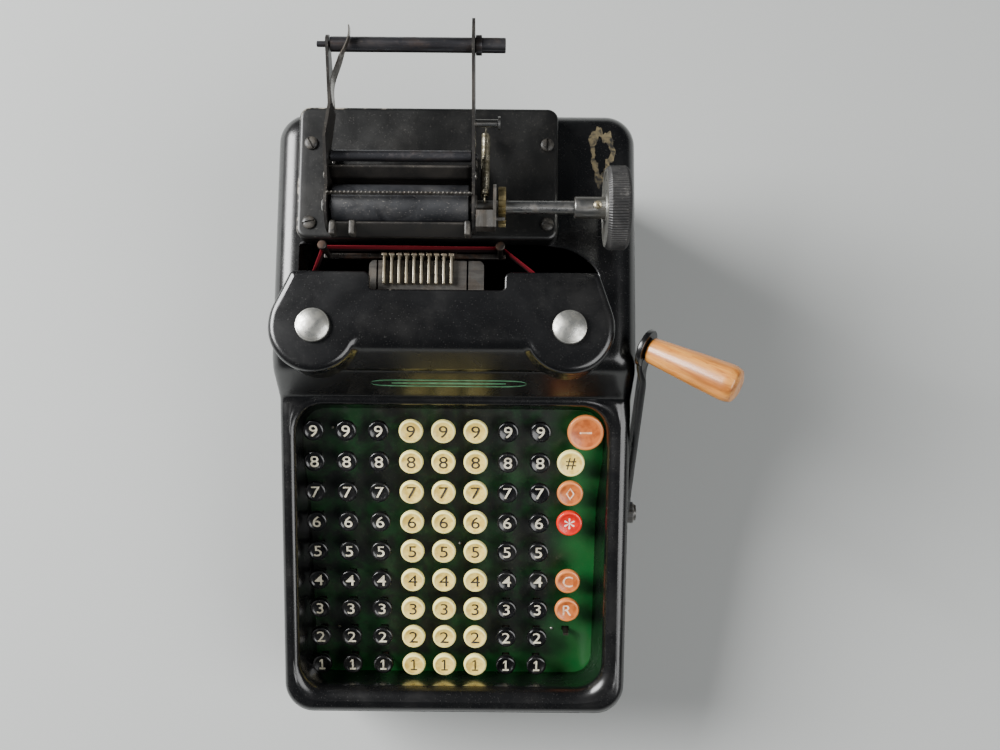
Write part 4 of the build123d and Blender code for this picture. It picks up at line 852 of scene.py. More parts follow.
makeCover()
thumbNut = {"radius": 9.25, "height": 4.5, "dome": 2.2, "base": 180.2}
domeRadius = np.linspace(0, thumbNut["radius"] - 0.9, 12)
nutProfile = np.array([(0, 0), (0, 8.6), (0.5, 9.25), (1.5, 9.25)]
                      + [tuple(p) for p in softPath([(1.5, 9.25), (2.6, 9.1), (2.6, 8.2)], (0.7,), 5)[1:]])
domeTop = np.column_stack([thumbNut["height"] - thumbNut["dome"] * (domeRadius / thumbNut["radius"]) ** 2,
                           domeRadius])[::-1]
nutProfile = np.concatenate([nutProfile[:-1], domeTop])
for side in ("left", "right"):
    x, y = cover[side + "Ear"]
    lattice, a, b, marks = turned(nutProfile, (x, y, thumbNut["base"]), (0, 0, 1), 64)
    dents = np.sin(lattice[..., 0] * 1.1 + 2) * np.sin(lattice[..., 1] * 0.9 + x) * 0.025
    lattice[..., 2] += np.where(nutProfile[:, :1] > 2.3, dents, 0)
    makePiece(side + "ThumbNut", [(lattice, a, b, marks),
                                  rod((x, y, 177.0), (x, y, 180.4), 2.5)], nickel, side + "_nut",
              [side + "_thumb_nut"], sharp=30.0)
print("cover made")


keyboard = {
    "pitch": 19.0, "firstX": -83.2, "rows": 9, "columns": 8, "capHeight": 4.6, "dish": 0.9,
    "blackRadius": 6.3, "creamRadius": 7.2, "cream": (3, 4, 5), "stem": (3.2, 1.6), "stemTop": -1.85,
    "below": 13.0, "signLift": 0.03}
functionKeys = {  # node: (body, X, row, radius, finish, slot, mark, mark finish, mark height)
    "minus_key": ("minus", 76.2, 9, 10.8, orangePlastic, "orange_key", "-", markWorn, 0.0),
    "number_key": ("number", 68.0, 8, 8.2, creamPlastic, "cream_key", "#", markDark, 10.4),
    "subtotal_key": ("subtotal", 68.0, 7, 7.85, orangePlastic, "orange_key", "diamond", markWorn, 0.0),
    "total_key": ("total", 68.0, 6, 7.85, redPlastic, "red_key", "*", markWhite, 15.5),
    "clear_key": ("clear", 68.0, 4, 7.6, orangePlastic, "orange_key", "C", markWorn, 10.0),
    "repeat_key": ("repeat", 68.0, 3, 7.6, orangePlastic, "orange_key", "R", markWorn, 10.0)}
rowAlong = np.array([0.0, math.cos(plate["slope"]), math.sin(plate["slope"])])
keyUp = np.array([0.0, -math.sin(plate["slope"]), math.cos(plate["slope"])])
plateOrigin = np.array([0.0, plate["y"], plate["z"]])


def onKeyboard(local, x, row):
    # local (across, up the rows, above the cap's rim) -> machine millimetres
    local = np.asarray(local, float)
    base = plateOrigin + rowAlong * keyboard["pitch"] * (row - 1) + keyUp * plate["height"] + np.array([x,
                                                                                                        0, 0])
    return base + local[..., :1] * np.array([1.0, 0, 0]) + local[..., 1:2] * rowAlong + local[...,
                                                                                              2:3] * keyUp


def capLattice(radius, x, row, count=36):
    # a cap turned from its side outline: flared skirt, soft shoulder, shallow dish
    s = keyboard
    rim = radius - 1.2
    skirt = softPath([(0.05, -s["capHeight"]), (radius - 0.7, -s["capHeight"]), (radius, -s["capHeight"] / 2),
                      (radius - 0.35, -0.25), (rim, -0.02), (rim - 0.6, -0.12)], (0.4, 0.6, 0.5, 0.25), 3)
    inside = np.linspace(rim - 0.9, 0.0, 8)
    dish = np.column_stack([inside, -s["dish"] * (1 - (inside / rim) ** 2)])
    outline = np.concatenate([[(0.0, -s["capHeight"])], skirt, dish])
    angle = np.linspace(0, 2 * math.pi, count, endpoint=False)[None, :]
    r, z = outline[:, :1], outline[:, 1:]
    local = np.stack([r * np.cos(angle), r * np.sin(angle), z * np.ones_like(angle)], -1)
    ring = np.broadcast_to(r / radius, local.shape[:2]).copy()
    return onKeyboard(local, x, row), False, True, {"ring": ring}


def stemLattice(x, row):
    # a flat stem as a closed four-sided sleeve from the cap down through the plates
    s = keyboard
    top, bottom = s["stemTop"], -(plate["height"] + 1.5 + s["below"])
    a, b = s["stem"][0] / 2, s["stem"][1] / 2
    square = np.array([(a, -b), (a, b), (-a, b), (-a, -b)])
    scale = np.array([0.0, 1.0, 1.0, 0.0])[:, None, None]
    height = np.array([top, top, bottom, bottom])[:, None, None] * np.ones((4, 4, 1))
    local = np.concatenate([square[None] * scale, height], -1)
    return onKeyboard(local, x, row), False, True, {"ring": 0.0}


def markMesh(text, size, boldness, widen=1.0):
    # a flat sign as loose vertices and faces in millimetres, centred
    curve = bpy.data.curves.new("sign", "FONT")
    curve.body, curve.size, curve.offset = text, size, boldness
    curve.align_x, curve.align_y = "CENTER", "CENTER"
    curve.resolution_u = 4
    holder = bpy.data.objects.new("sign", curve)
    mesh = bpy.data.meshes.new_from_object(holder)
    points = np.array([tuple(v.co) for v in mesh.vertices])
    faces = [tuple(f.vertices) for f in mesh.polygons]
    bpy.data.objects.remove(holder)
    bpy.data.curves.remove(curve)
    bpy.data.meshes.remove(mesh)
    points = (points - (points.max(0) + points.min(0)) / 2) * np.array([widen, 1.0, 1.0])
    return points, faces


def figureOne(height, thick):
    # a typewriter one: the foot, the stem and a short flag as three flat shapes
    half, low, top = thick / 2, -height / 2, height / 2
    shapes = [[(-0.27 * height, low), (0.27 * height, low), (0.27 * height, low + thick),
               (-0.27 * height, low + thick)],
              [(-half, low + thick), (half, low + thick), (half, top), (-half, top)],
              [(-half, top), (-half, top - 1.3 * thick), (-0.24 * height, top - 2.3 * thick),
               (-0.24 * height, top - 1.4 * thick)]]
    points = np.array([(x, y, 0.0) for shape in shapes for x, y in shape])
    return points, [tuple(range(4 * k, 4 * k + 4)) for k in range(3)]


def flatSign(outline):
    # a closed strip between two loops of points as vertices and faces
    outer, inner = (np.asarray(loop, float) for loop in outline)
    count = len(outer)
    points = np.concatenate([outer, inner])
    k = np.arange(count)
    faces = np.stack([k, (k + 1) % count, (k + 1) % count + count, k + count], 1).tolist()
    return np.column_stack([points, np.zeros(len(points))]), faces


def addMarks(name, signs, finish, body):
    # the signs of one body's caps laid just above each dish
    points, faces, start = [], [], 0
    for (local, polygons), x, row, radius in signs:
        rim = radius - 1.2
        away = np.minimum(np.hypot(local[:, 0], local[:, 1]), rim)
        height = -keyboard["dish"] * (1 - (away / rim) ** 2) + keyboard["signLift"]
        points.append(onKeyboard(np.column_stack([local[:, :2], height]), x, row))
        faces += [[v + start for v in polygon] for polygon in polygons]
        start += len(local)
    mesh = bpy.data.meshes.new(name)
    mesh.from_pydata(toFrame(np.concatenate(points)), [], faces)
    mesh.materials.append(finish)
    piece = bpy.data.objects.new(name, mesh)
    bpy.context.scene.collection.objects.link(piece)
    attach(piece, body)


digitSigns = [figureOne(7.4, 0.8)] + [markMesh(str(n), 10.6, 0.012, 1.16) for n in range(2, 10)]
digitSignsBold = [figureOne(6.9, 1.0)] + [markMesh(str(n), 9.8, 0.02, 1.16) for n in range(2, 10)]
keyRows = range(keyboard["rows"])
for column in range(keyboard["columns"]):
    x = keyboard["firstX"] + keyboard["pitch"] * column
    isCream = column in keyboard["cream"]
    radius = keyboard["creamRadius" if isCream else "blackRadius"]
    lattices = [capLattice(radius, x, row + 1) for row in keyRows]
    makePiece(f"keyCaps{column + 1}", lattices, creamPlastic if isCream else blackPlastic,
              f"column_{column + 1}",
              [f"key_column_{column + 1}"], sharp=60.0)
    makePiece(f"keyStems{column + 1}", [stemLattice(x, row + 1) for row in keyRows], darkSteel,
              f"column_{column + 1}", sharp=30.0)
    chosen = digitSigns if isCream else digitSignsBold
    addMarks(f"keyDigits{column + 1}", [(chosen[row], x, row + 1, radius) for row in keyRows],
             markDark if isCream else markCream, f"column_{column + 1}")
dash = softPath([(-3.6, -0.55), (3.6, -0.55), (3.6, 0.55), (-3.6, 0.55), (-3.6, -0.55)], (0.3, 0.3, 0.3),
                3)[:-1]
turn = np.radians([0, 90, 180, 270])
drawnSigns = {
    "-": flatSign((dash, dash * np.array([0.9, 0.05]))),
    "diamond": flatSign((np.column_stack([2.6 * np.cos(turn), 3.9 * np.sin(turn)]),
                         np.column_stack([1.75 * np.cos(turn), 2.7 * np.sin(turn)])))}
for key, (body, x, row, radius, finish, slot, mark, markFinish, size) in functionKeys.items():
    makePiece(body + "Cap", [capLattice(radius, x, row, 48)], finish, body, [key], sharp=60.0)
    makePiece(body + "Stem", [stemLattice(x, row)], darkSteel, body, sharp=30.0)
    sign = drawnSigns[mark] if mark in drawnSigns else markMesh(mark, size, 0.02)
    addMarks(body + "Sign", [(sign, x, row, radius)], markFinish, body)
print("keys made")


carriage = {
    "platen": (106.5, 196.0), "roll": (178.0, 234.0), "guide": (131.3, 203.0),
    "left": -64.8, "right": 11.2, "plate": 0.75, "armJog": 3.5, "collar": (12.35, 15.35),
    "bedLow": (-86.2, 94.2, 161.5), "bedHigh": (56.7, 168.8, 175.0), "bedCorner": 6.0, "bedRoll": 2.4}
footPlaces = [(x, y) for x in (-80.0, 80.0) for y in (-145.0, 145.0)]
screws = {"places": [(-79.0, 147.6), (-79.0, 103.0), (50.6, 147.6), (50.6, 103.0)], "radius": 3.6,
          "slot": 0.55}


def makeBed():
    # insets of the bed's plan outline: a wall, a rolled edge, then the flat top
    s = carriage
    low, high = np.array(s["bedLow"]), np.array(s["bedHigh"])
    angle = np.linspace(0, math.pi / 2, 8)
    turn = np.concatenate([angle + k * math.pi / 2 for k in range(4)])
    signX, signY = np.repeat([1, -1, -1, 1], 8), np.repeat([1, 1, -1, -1], 8)
    middle, half = (low + high) / 2, (high - low) / 2
    inset = np.concatenate([[0, 0, 0], s["bedRoll"] * (1 - np.cos(angle[1:])), [5.5, 20.0, half[1]]])
    height = np.concatenate([[low[2], 168.0, high[2] - s["bedRoll"]],
                             high[2] - s["bedRoll"] * (1 - np.sin(angle[1:])), [high[2]] * 3])
    corner = np.maximum(s["bedCorner"] - inset, 0.0)[:, None]
    x = middle[0] + signX * (half[0] - inset[:, None] - corner) + corner * np.cos(turn)
    y = middle[1] + signY * np.maximum(half[1] - inset[:, None] - corner, 0) + corner * np.sin(turn)
    z = height[:, None] * np.ones_like(x)
    edge = np.zeros_like(x)
    edge[4:8] = np.where(x[4:8] < middle[0] - half[0] * 0.85, 0.75, 0.4)
    thicken(makePiece("bedShell", [(np.stack([x, y, z], -1), False, True, {"edge": edge})], satinBlack,
                      "frame",
                      ["carriage_bed"], sharp=50.0), 1.6)


def slottedHead(x, y, base, radius, angle, slot):
    # a domed screw head over columns of X, doubled at the slot so that its walls stand upright
    across = radius * np.sin(np.linspace(-math.pi / 2, math.pi / 2, 17))
    across = np.sort(np.concatenate([across, [-slot - 0.01, -slot, slot, slot + 0.01]]))
    along = np.sin(np.linspace(-math.pi / 2, math.pi / 2, 15))
    u = across[:, None] * np.ones((1, 15))
    v = along[None, :] * np.sqrt(np.maximum(radius ** 2 - across[:, None] ** 2, 0))
    away = np.hypot(u, v) / radius
    z = base + 2.0 - 0.9 * away ** 4 - np.where(np.abs(u) <= slot + 0.001, 0.9, 0.0)
    under = np.stack([u, v, np.full_like(u, base)], -1)
    top = np.stack([u, v, z], -1)
    c, s = math.cos(angle), math.sin(angle)
    spin = np.array([[c, s, 0], [-s, c, 0], [0, 0, 1]])
    return [(lattice @ spin + np.array([x, y, 0]), False, False, {}) for lattice in (top, under)]


def makeScrews():
    # heads on the bed, each a dome and its underside joined by a short wall, and the feet's screws
    parts = []
    for k, (x, y) in enumerate(screws["places"]):
        parts += slottedHead(x, y, 175.0, screws["radius"], 0.5 + 1.3 * k, screws["slot"])
        parts.append(turned([(0, 0), (0, 3.55), (1.1, 3.6), (1.1, 3.4)], (x, y, 175.0), (0, 0, 1), 32))
        parts.append(rod((x, y, 164.0), (x, y, 175.2), 1.9))
    for x, y in footPlaces:
        parts.append(turned([(0, 0), (0, 3.2), (0.5, 3.6), (2.0, 3.6), (2.0, 0)], (x, y, 3.0), (0, 0, 1), 32))
        parts.append(rod((x, y, 4.8), (x, y, 12.0), 1.9))
    makePiece("caseScrews", parts, screwBlack, "frame", ["case_screws"], sharp=30.0)


makeBed()
makeScrews()
platenY, platenZ = carriage["platen"]
insideLeft, insideRight = carriage["left"] + carriage["plate"], carriage["right"] - carriage["plate"]
axle = (0.0, platenY, platenZ)
alongX = (1, 0, 0)


def onAxle(profile, **more):
    # a profile of (X, radius) turned round the platen's axis
    return turned(profile, axle, alongX, **more)


a, b = insideLeft + 1.6, insideRight - 1.6
makePiece("platenRubber", [onAxle(softPath([(a, 3.5), (a, 11.0), (b, 11.0), (b, 3.5)], (0.6, 0.6), 4),
                                  count=72)],
          rubberBlack, "platen_group", ["platen"], sharp=40.0)
makePiece("platenAxle", [onAxle([(-68.3, 0), (-68.3, 3.0), (-67.8, 3.5), (a + 0.05, 3.5), (a + 0.05, 3.45),
                                 (b, 3.45), (b, 3.5), (89.6, 3.5), (90.0, 3.0), (90.0, 0)], count=40)],
          steel, "platen_group", ["platen_shaft"])
hubLine = softPath([(64.0, 3.5), (64.0, 5.75), (80.0, 5.75), (80.0, 3.6)], (0.5, 0.3), 4)
makePiece("knobHub", [onAxle(hubLine, count=48)], steel, "platen_group", ["knob_hub"])
screwX = 75.7
makePiece("hubScrew", slottedHead(screwX, platenY, platenZ + 4.8, 2.2, 0.6, 0.35)
          + [turned([(0, 0), (0, 2.15), (1.1, 2.2), (1.1, 2.0)], (screwX, platenY, platenZ + 4.8),
                    (0, 0, 1), 28)],
          typeBrass, "platen_group", ["knob_set_screw"], sharp=30.0)
knobLine = softPath([(80.0, 3.5), (80.0, 6.6), (80.7, 7.2), (80.7, 18.4), (80.0, 19.0), (80.0, 20.4),
                     (82.0, 22.0),
                     (90.2, 22.0), (92.0, 20.3), (92.0, 17.5), (90.8, 16.5), (90.4, 4.0), (90.4, 0.0)],
                    (0.3, 0.3, 0.4, 0.3, 0.3, 0.6, 0.8, 0.8, 0.5, 0.5, 0.6, 0), 3)
knobLattice = onAxle(knobLine, count=480, flutes=96, fluteDepth=0.55, fluteFrom=20.8,
                     values={"edge": (knobLine[:, 1] > 20.5) * 1.0})
split = int(np.argmax(knobLine[:, 1] > 20.35))
rimPart = (knobLattice[0][split:], False, True, {"edge": knobLattice[3]["edge"][split:]})
facePart = (knobLattice[0][: split + 1], False, True, {})
makePiece("knobRim", [rimPart], knobBlack, "platen_group", ["platen_knob"], sharp=60.0)
makePiece("knobFace", [facePart], nickel, "platen_group", sharp=40.0)

# the ratchet: its radius falls back slowly and jumps at each of the twenty teeth
turn = np.linspace(0, 2 * math.pi, 240, endpoint=False)
tooth = (turn * 20 / (2 * math.pi)) % 1.0
toothed = 10.5 - 1.7 * np.minimum(tooth * 1.15, (1 - tooth) * 7.5)
levels = ((24.0, 0.34), (24.0, 0.97), (24.3, 1.0), (27.7, 1.0), (28.0, 0.97), (28.0, 0.34))
ratchet = np.stack([np.stack([np.full(240, x), platenY + toothed * k * np.cos(turn),
                              platenZ + toothed * k * np.sin(turn)], -1) for x, k in levels])
makePiece("ratchetWheel", [(ratchet, False, True, {})], oliveBrass, "platen_group", ["line_space_ratchet"],
          sharp=25.0)

rollY, rollZ = carriage["roll"]
rollLeft = insideLeft + carriage["armJog"] + 0.5
rollBar = [(rollLeft, 0), (rollLeft, 3.3), (rollLeft + 0.4, 3.75), (26.8, 3.75), (27.2, 3.4),
           (27.2, 2.2), (26.2, 2.0), (26.2, 0)]
collarFrom, collarTo = carriage["collar"]
collar = softPath([(collarFrom, 3.75), (collarFrom, 4.95), (collarTo, 4.95), (collarTo, 3.75)], (0.3, 0.3), 3)
makePiece("rollBar", [turned(rollBar, (0, rollY, rollZ), alongX, 48),
                      turned(collar, (0, rollY, rollZ), alongX, 48),
                      rod((carriage["left"] - 2.0, rollY, rollZ), (rollLeft + 0.1, rollY, rollZ), 1.5)],
          rollerSteel, "roll", ["roll_shaft"])
guideY, guideZ = carriage["guide"]
guideBar = [(insideLeft + 0.5, 0), (insideLeft + 0.5, 2.6), (insideLeft + 0.9, 3.0), (insideRight - 0.9, 3.0),
            (insideRight - 0.5, 2.6), (insideRight - 0.5, 0)]
makePiece("guideBar", [turned(guideBar, (0, guideY, guideZ), alongX, 48),
                       rod((-66.8, guideY, guideZ), (insideLeft + 0.6, guideY, guideZ), 1.5),
                       rod((insideRight - 0.6, guideY, guideZ), (13.2, guideY, guideZ), 1.5)],
          rollerSteel, "roller", ["guide_roller"])

# close-wound spring: a helix round the line between its ends, with a hook drawn out at each end
coil = {"front": (17.0, 108.0, 203.0), "rear": (17.0, 152.0, 184.0), "radius": 1.95, "wire": 0.42,
        "turns": 46}
start, end = np.array(coil["front"]), np.array(coil["rear"])
along, side, other = axes(end - start, (1, 0, 0))
t = np.linspace(0, 1, coil["turns"] * 14)
angle = t * coil["turns"] * 2 * math.pi
grown = np.clip(np.minimum(t, 1 - t) * coil["turns"] * 0.7, 0.02, 1)[:, None] * coil["radius"]
around = np.cos(angle)[:, None] * side + np.sin(angle)[:, None] * other
helix = start + (end - start) * (0.04 + 0.92 * t)[:, None] + grown * around
hook = np.linspace(0, 1.5 * math.pi, 16)[:, None]
frontHook = start - along * 1.0 - along * 1.6 * np.sin(hook) - other * 1.6 * (1 - np.cos(hook))
rearHook = end + along * 1.0 + along * 1.6 * np.sin(hook) + other * 1.6 * (1 - np.cos(hook))
wires = [helix, np.concatenate([[start + along * 2.2], frontHook]),
         np.concatenate([[end - along * 2.2], rearHook])]
makePiece("pawlSpringCoil", [tube(wire, coil["wire"], 6) for wire in wires],
          springWire, "frame", ["pawl_spring"], sharp=60.0)

# clamps on the paper guide, then rivets and a bearing ring on each carriage plate
clamps = [roundedBox((x - 1.6, platenY - 17.2, platenZ + 0.2), (x + 1.6, platenY - 9.6, platenZ + 8.2), 0.8)
          for x in (-61.8, -51.5, 8.2)]
makePiece("guideClamps", clamps, screwBlack, "frame", sharp=40.0)
bosses = []
for x, sign in ((carriage["left"], -1), (carriage["right"], 1)):
    for y, z in ((101.0, 182.0), (134.0, 182.0), (120.0, 206.0)):
        start = (x + sign * 0.7, y, z)
        bosses.append(turned([(0, 0), (0, 2.1), (0.5, 2.0), (0.95, 1.2), (1.05, 0)], start, (sign, 0, 0), 24))
    bosses.append(turned([(0, 3.6), (0, 6.4), (0.8, 6.4), (1.2, 6.0), (1.2, 3.6)],
                         (x + sign * 0.72, platenY, platenZ), (sign, 0, 0), 40))
makePiece("plateRivets", bosses, wornSteel, "frame", sharp=30.0)
print("carriage made")


def makePan():
    # an arc round the platen that flares out at the rear, its long edges rolled
    near = np.radians(np.linspace(-101, 8, 30))
    y, z = platenY + 14.8 * np.cos(near), platenZ + 14.8 * np.sin(near)
    t = np.linspace(0, 1, 7)[1:]
    y, z = np.concatenate([y, y[-1] + 4.4 * t]), np.concatenate([z, z[-1] + 7.3 * t])
    x = np.linspace(insideLeft + 0.1, insideRight - 0.1, 24)
    lattice = np.stack(np.broadcast_arrays(x[None], y[:, None], z[:, None]), -1)
    edge = np.zeros(lattice.shape[:2])
    edge[-2:] = 0.9
    thicken(makePiece("paperPan", [(lattice, False, False, {"edge": edge})], satinParts, "frame",
                      ["paper_pan"],
                      sharp=50.0), 0.9, 0.0)


makePan()
guideFace = np.array([(platenY - 16.0, platenZ - 3.65), (platenY - 10.6, platenZ + 7.1)])
x = np.linspace(insideLeft, insideRight, 40)
t = np.linspace(0, 1, 9)[:, None]
y, z = (guideFace[0] + (guideFace[1] - guideFace[0]) * t).T
lattice = np.stack(np.broadcast_arrays(x[None], y[:, None], z[:, None]), -1)
worn = np.where((x > -2) & (x < 9.5), 1.0, 0.25) * np.where((t > 0.2) & (t < 0.95), 1.0, 0.3)
thicken(makePiece("paperGuide", [(lattice, False, False, {"edge": worn})], satinParts, "frame",
                  ["paper_guide"],
                  sharp=50.0), 0.8, 0.0)


ribbon = {
    "low": 165.0, "high": 177.7, "runHigh": 176.5, "y": 89.65, "posts": (-69.6, 25.3), "postY": 88.0,
    "wound": 12.0, "thick": 0.25, "stretch": (0.29, 0.03)}  # stretch: the part of a run meant to follow the yoke


def ribbonStrip(path, low, high):
    # a woven band: its path by its height, with a slight sag and curl between the supports
    path = np.asarray(path, float)
    t = np.linspace(0, 1, len(path))[:, None]
    v = np.linspace(0, 1, 9)[None, :]
    tangent = np.gradient(path, axis=0)
    side = np.stack([-tangent[:, 1], tangent[:, 0]], 1) / np.linalg.norm(tangent, axis=1)[:, None]
    curl = 0.22 * np.sin(math.pi * t) * np.sin(2 * math.pi * v + 5 * t)
    xy = path[:, None] + curl[..., None] * side[:, None]
    z = low + (high - low) * v - 0.25 * np.sin(math.pi * t)
    return np.concatenate([xy, z[..., None]], -1), False, False, {"across": np.broadcast_to(v, z.shape)}


leftPost, rightPost = ribbon["posts"]
t = np.linspace(0, 1, 60)[:, None]
span = np.array([leftPost, ribbon["y"]]) + np.array([rightPost - leftPost, 0.0]) * t
thicken(makePiece("ribbonSpan", [ribbonStrip(span, ribbon["low"], ribbon["high"])], inkedRibbon,
                  "ribbon_yoke",
                  ["ribbon_span"], sharp=60.0), ribbon["thick"], 0.0)


def tangentPoint(start, centre, radius, side):
    # where a straight run from start touches the wound ribbon
    dx, dy = centre[0] - start[0], centre[1] - start[1]
    away = math.hypot(dx, dy)
    reach = math.sqrt(away ** 2 - radius ** 2)
    angle = math.atan2(dy, dx) + side * math.atan2(radius, reach)
    return start[0] + reach * math.cos(angle), start[1] + reach * math.sin(angle)


def makeRun(name, start, centre, side, replaced):
    # a straight run from a post to where it touches the wound ribbon, on no body
    s = ribbon
    start, end = np.array(start), np.array(tangentPoint(start, centre, s["wound"], side))
    strip = ribbonStrip(start + (end - start) * np.linspace(0, 1, 30)[:, None], s["low"], s["runHigh"])
    run = makePiece(name, [strip], inkedRibbon, None, replaced, sharp=60.0)
    thicken(run, s["thick"], 0.0)
    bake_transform(run)


makeRun("ribbonRunLeft", (leftPost - 1.9, 88.8), cover["leftEar"], -1, ["ribbon_runs"])
makeRun("ribbonRunRight", (rightPost + 1.3, 89.7), cover["rightEar"], 1, [])
guides = [roundedBox((leftPost - 3, 86.5, 159.0), (rightPost + 3, 89.5, 162.0), 0.5)]
for x in (leftPost, rightPost):
    head = softPath([(22.5, 1.45), (22.5, 2.65), (24.5, 2.5), (24.5, 0.0)], (0.5, 0.7), 4)
    outline = np.concatenate([[(-0.2, 0.0), (-0.2, 1.5), (1.0, 1.5), (21.5, 1.45)], head])
    guides.append(turned(outline, (x, ribbon["postY"], 162.0), (0, 0, 1), 28))
makePiece("ribbonPosts", guides, darkSteel, "ribbon_yoke", ["ribbon_guides"], sharp=35.0)
for side in ("left", "right"):
    spool = [(163.6, 2.6), (163.6, 18.6), (164.0, 19.0), (164.8, 18.8), (165.0, 18.2), (165.0, 11.7)]
    upper = [(176.9, 11.7), (176.9, 18.6), (177.3, 19.0), (177.7, 18.6), (177.7, 5.5), (177.3, 4.6),
             (177.3, 2.6)]
    disc = np.array(spool + [(165.05, 11.6), (176.85, 11.6)] + upper)
    marks = ((disc[:, 1] < 12.5) & (disc[:, 0] > 165.0) & (disc[:, 0] < 177.0)) * 1.0
    makePiece(side + "Spool", [turned(disc, (*cover[side + "Ear"], 0.0), (0, 0, 1), 64,
                                      values={"edge": marks})], darkSteel,
              "spool_" + side, [side + "_spool"], sharp=35.0)
print("ribbon made")


typeBars = {
    "count": 10, "pitch": 4.07, "first": -38.0, "half": 0.6, "front": 70.5, "rear": 86.0, "top": 172.0,
    "bottom": 117.0, "slugs": 9, "slugFrom": 131.6, "slugPitch": 4.4}


def makeTypeBars():
    # each bar is a thin plate with a wider head, and a row of slugs up the head
    s, parts = typeBars, []
    for k in range(s["count"]):
        x, y = s["first"] + s["pitch"] * k, s["rear"]
        parts.append(roundedBox((x - s["half"], s["front"], s["bottom"]), (x + s["half"], y, s["top"]),
                                0.25, 2))
        parts.append(roundedBox((x - 1.4, y - 0.02, 130.0), (x + 1.4, y + 1.3, s["top"]), 0.2, 2))
        for row in range(s["slugs"]):
            z = s["slugFrom"] + row * s["slugPitch"]
            parts.append(roundedBox((x - 1.0, y + 1.2, z), (x + 1.0, y + 1.75, z + 2.6), 0.3, 2))
    return parts


makePiece("typeBars", makeTypeBars(), typeBrass, "type_bar_set", ["type_bars"], sharp=35.0)
print("type made")


crank = {"x": 103.2, "thick": 3.5, "shaft": (-52.6, 60.0), "length": 140.0, "lean": math.radians(39.6),
         "turn": math.radians(33.5), "gripLength": 52.5, "root": 7.1, "end": 10.3}
armAlong = np.array([0.0, math.sin(crank["lean"]), math.cos(crank["lean"])])
armForward = np.array([0.0, -math.cos(crank["lean"]), math.sin(crank["lean"])])
gripAlong = np.array([1.0, 0, 0]) * math.cos(crank["turn"]) + armForward * math.sin(crank["turn"])
shaftPlace = np.array([crank["x"] + crank["thick"] / 2, *crank["shaft"]])
armEnd = shaftPlace + armAlong * crank["length"]


def makeCrankArm():
    # a flat bar tapering from its boss, rounded edges, turning at its end into the flange's lug
    s = crank
    t = np.concatenate([np.linspace(0, 0.88, 26), np.linspace(0.88, 1.0, 14)[1:]])
    twist = np.clip((t - 0.86) / 0.11, 0, 1)
    twist = (twist * twist * (3 - 2 * twist)) * s["turn"]
    half = np.interp(t, [0, 0.05, 0.86, 1.0], [8.3, 8.1, 6.5, 6.8])
    across = s["thick"] / 2
    corner = np.array([(-1, -0.55), (-0.93, -1), (0.93, -1), (1, -0.55),
                       (1, 0.55), (0.93, 1), (-0.93, 1), (-1, 0.55)])
    wide = corner[None, :, :1] * half[:, None, None]
    deep = corner[None, :, 1:] * across
    forward = (armForward[None] * np.cos(twist)[:, None] - np.array([1.0, 0, 0]) * np.sin(twist)[:, None])
    outward = (np.array([1.0, 0, 0]) * np.cos(twist)[:, None] + armForward[None] * np.sin(twist)[:, None])
    centre = shaftPlace + armAlong * (t * (s["length"] - 4.0))[:, None]
    lattice = centre[:, None] + wide * forward[:, None] + deep * outward[:, None]
    caps = [np.repeat(lattice[i].mean(0)[None, None], 8, 1) for i in (0, -1)]
    lattice = np.concatenate([caps[0], lattice, caps[1]])
    boss = turned(softPath([(-1.0, 5.1), (-1.0, 8.5), (3.5, 8.5), (3.5, 5.1)], (0.4, 0.8), 4),
                  (s["x"], *s["shaft"]), alongX, 48)
    flange = softPath([(-1.5, 2.6), (-1.5, 10.5), (1.5, 10.5), (1.5, 2.6)], (0.7, 0.7), 4)
    worn = (flange[:, 1] > 9.6) * 0.85 + (flange[:, 0] > 1.4) * 0.35
    disc = turned(flange, armEnd, gripAlong, 56, values={"edge": worn})
    makePiece("crankArm", [(lattice, False, True, {"edge": np.full(lattice.shape[:2], 0.75)}), boss, disc],
              blackEnamel, "crank", ["crank_arm"], sharp=40.0)


def makeGrip():
    # the grip's side outline turned round its axis, with its own coordinates kept for the grain
    s = crank
    start = 1.5 + 0.8
    end = start + s["gripLength"]
    outline = softPath([(start, 2.7), (start, s["root"] - 0.8), (start + 1.2, s["root"]),
                        (start + 0.55 * s["gripLength"], s["root"] + 0.66 * (s["end"] - s["root"])),
                        (end - 5, s["end"]), (end - 1.4, s["end"] - 1.3), (end, s["end"] - 4.5), (end, 0.0)],
                       (0.4, 0.8, 90, 12, 2.0, 2.0), 5)
    lattice, a, b, _ = turned(outline, armEnd, gripAlong, 64)
    along, side, other = axes(gripAlong)
    away = (lattice - armEnd) * 0.001
    grain = np.stack([away @ along, away @ side, away @ other], -1)
    makePiece("crankGrip", [(lattice, a, b, {"grain": grain})], varnishedWood, "grip", ["crank_grip"],
              sharp=50.0)


makeCrankArm()
makeGrip()
dome = [(0, 2.4), (0, 5.0), (0.9, 4.9), (1.9, 4.1), (2.6, 2.6), (2.9, 1.2), (3.0, 0)]
makePiece("gripBolt", [turned(dome, armEnd - gripAlong * 1.5, -gripAlong, 40),
                       rod(armEnd - gripAlong * 1.5, armEnd + gripAlong * 46.8, 2.5)],
          nickel, "crank", ["grip_bolt"], sharp=30.0)
nutFace = crank["x"] + crank["thick"]
angle = np.linspace(0, 2 * math.pi, 48, endpoint=False)
flat = 6.5 / np.cos((angle + math.pi / 6) % (math.pi / 3) - math.pi / 6)
